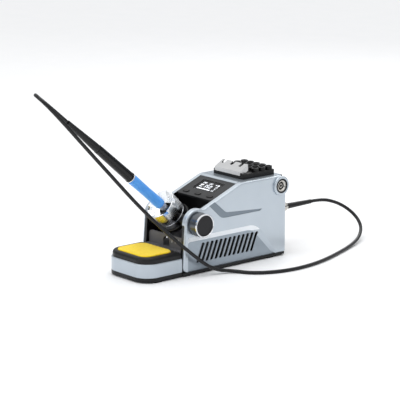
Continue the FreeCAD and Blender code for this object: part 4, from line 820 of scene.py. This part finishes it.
def stand_ribs(tree, given, points, rise, sides):
    """Stands a round rib on every point, turns the instances into plain mesh and puts the material on it."""
    line = add(tree, "GeometryNodeCurvePrimitiveLine", inputs={"End": rise})
    section = add(tree, "GeometryNodeCurvePrimitiveCircle", inputs={
        "Resolution": sides, "Radius": given["Radius"]})
    rib = add(tree, "GeometryNodeCurveToMesh", inputs={
        "Curve": line.outputs[0], "Profile Curve": section.outputs[0], "Fill Caps": True})
    ribs = add(tree, "GeometryNodeInstanceOnPoints", inputs={
        "Points": points, "Instance": rib.outputs[0]})
    real = add(tree, "GeometryNodeRealizeInstances", inputs={"Geometry": ribs.outputs[0]})
    painted = add(tree, "GeometryNodeSetMaterial", inputs={
        "Geometry": real.outputs[0], "Material": given["Material"]})
    add(tree, "NodeGroupOutput", inputs={"Geometry": painted.outputs[0]})


def leaning_ribs_tree():
    """Rounded ribs at an even pitch, each from its foot along a leaning rise."""
    tree, given = start_tree("leaning_ribs", [
        ("Count", "NodeSocketInt"), ("First Foot", "NodeSocketVector"), ("Step", "NodeSocketVector"),
        ("Rise", "NodeSocketVector"), ("Radius", "NodeSocketFloat")])
    feet = add(tree, "GeometryNodeMeshLine", {"mode": "OFFSET"}, {
        "Count": given["Count"], "Start Location": given["First Foot"], "Offset": given["Step"]})
    stand_ribs(tree, given, feet.outputs[0], given["Rise"], sides=14)
    return tree


def ring_of_ribs_tree():
    """Straight ribs round a cylinder along Y, as on a connector's grip ring."""
    tree, given = start_tree("ring_of_ribs", [
        ("Count", "NodeSocketInt"), ("Ring Radius", "NodeSocketFloat"), ("Length", "NodeSocketVector"),
        ("Centre", "NodeSocketVector"), ("Radius", "NodeSocketFloat")])
    circle = add(tree, "GeometryNodeMeshCircle", inputs={
        "Vertices": given["Count"], "Radius": given["Ring Radius"]})
    upright = add(tree, "GeometryNodeTransform", inputs={
        "Geometry": circle.outputs[0], "Rotation": (math.pi/2, 0, 0), "Translation": given["Centre"]})
    stand_ribs(tree, given, upright.outputs[0], given["Length"], sides=8)
    return tree


def make_vent_ribs():
    """A rounded rib stands on each bar between the vent slots, leaning back with them."""
    tree = leaning_ribs_tree()
    count, pitch, first_rib = 12, 8.3, -34.05
    foot, head, lean = 17.2, 41.8, 10.0
    proud = 1.15
    for name, side in (("right_vent_ribs", 1), ("left_vent_ribs", -1)):
        ribs = realised(name, tree, {
            "Count": count, "First Foot": (side*VENT_PANEL*MM, first_rib*MM, foot*MM),
            "Step": (0, pitch*MM, 0), "Rise": (0, lean*MM, (head - foot)*MM), "Radius": proud*MM}, PAINT)
        ribs.data.shade_smooth()
        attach(ribs, "station")


def make_plug_ribs():
    """The plug's lock ring has fine straight ribs for the fingers."""
    low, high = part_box("plug_lock_ring")
    reach = (high.x - low.x)/2
    inset = 1.6*MM
    sunk = 0.1*MM
    ribs = realised("plug_ring_ribs", ring_of_ribs_tree(), {
        "Count": 36, "Ring Radius": reach - sunk, "Length": (0, high.y - low.y - 2*inset, 0),
        "Centre": (0, low.y + inset, SOCKET_HEIGHT), "Radius": 0.35*MM}, NICKEL)
    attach(ribs, "station")


def make_jack_rings():
    """Black insulating rings of the earth jack: one down in its mouth, one round it on the boss."""
    low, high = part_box("earth_jack")
    centre = (low + high)/2
    face = high.x/MM
    place = Matrix.Translation((0, centre.y, centre.z)) @ Matrix.Rotation(math.pi/2, 4, "Y")
    for name, inner, outer, back, front in (("jack_mouth_ring", 3.1, 5.4, -1.8, -1.45),
                                            ("jack_collar_ring", 8.3, 10.4, 0.55, 1.0)):
        ring = turned(name, bar_corners(inner, face + back, outer, face + front), place, CASE_BLACK)
        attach(ring, "station")


def make_pale_wall_marks():
    """Three pale marks beside the slot in the recess wall."""
    wide, thick, tall = 1.0*MM, 0.25*MM, 7*MM
    proud, height = 0.1*MM, 45.5*MM
    lean = Matrix.Rotation(math.radians(8), 4, "Y")
    bm = bmesh.new()
    for across in (13, 20, 27):
        place = Matrix.Translation((across*MM, WALL_FRONT - proud, height))
        bmesh.ops.create_cube(bm, size=1, matrix=place @ lean @ Matrix.Diagonal((wide, thick, tall, 1)))
    bmesh.ops.bevel(bm, geom=bm.edges[:], offset=0.08*MM, segments=2, affect="EDGES")
    marks = from_bmesh("pale_wall_marks", bm, MARK_WHITE, smooth=False)
    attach(marks, "station")


finish_cad_nodes()
make_camera()
make_studio()
make_cord()
make_sponge()
make_grip()
make_display_figures()
make_vent_ribs()
make_plug_ribs()
make_jack_rings()
make_pale_wall_marks()
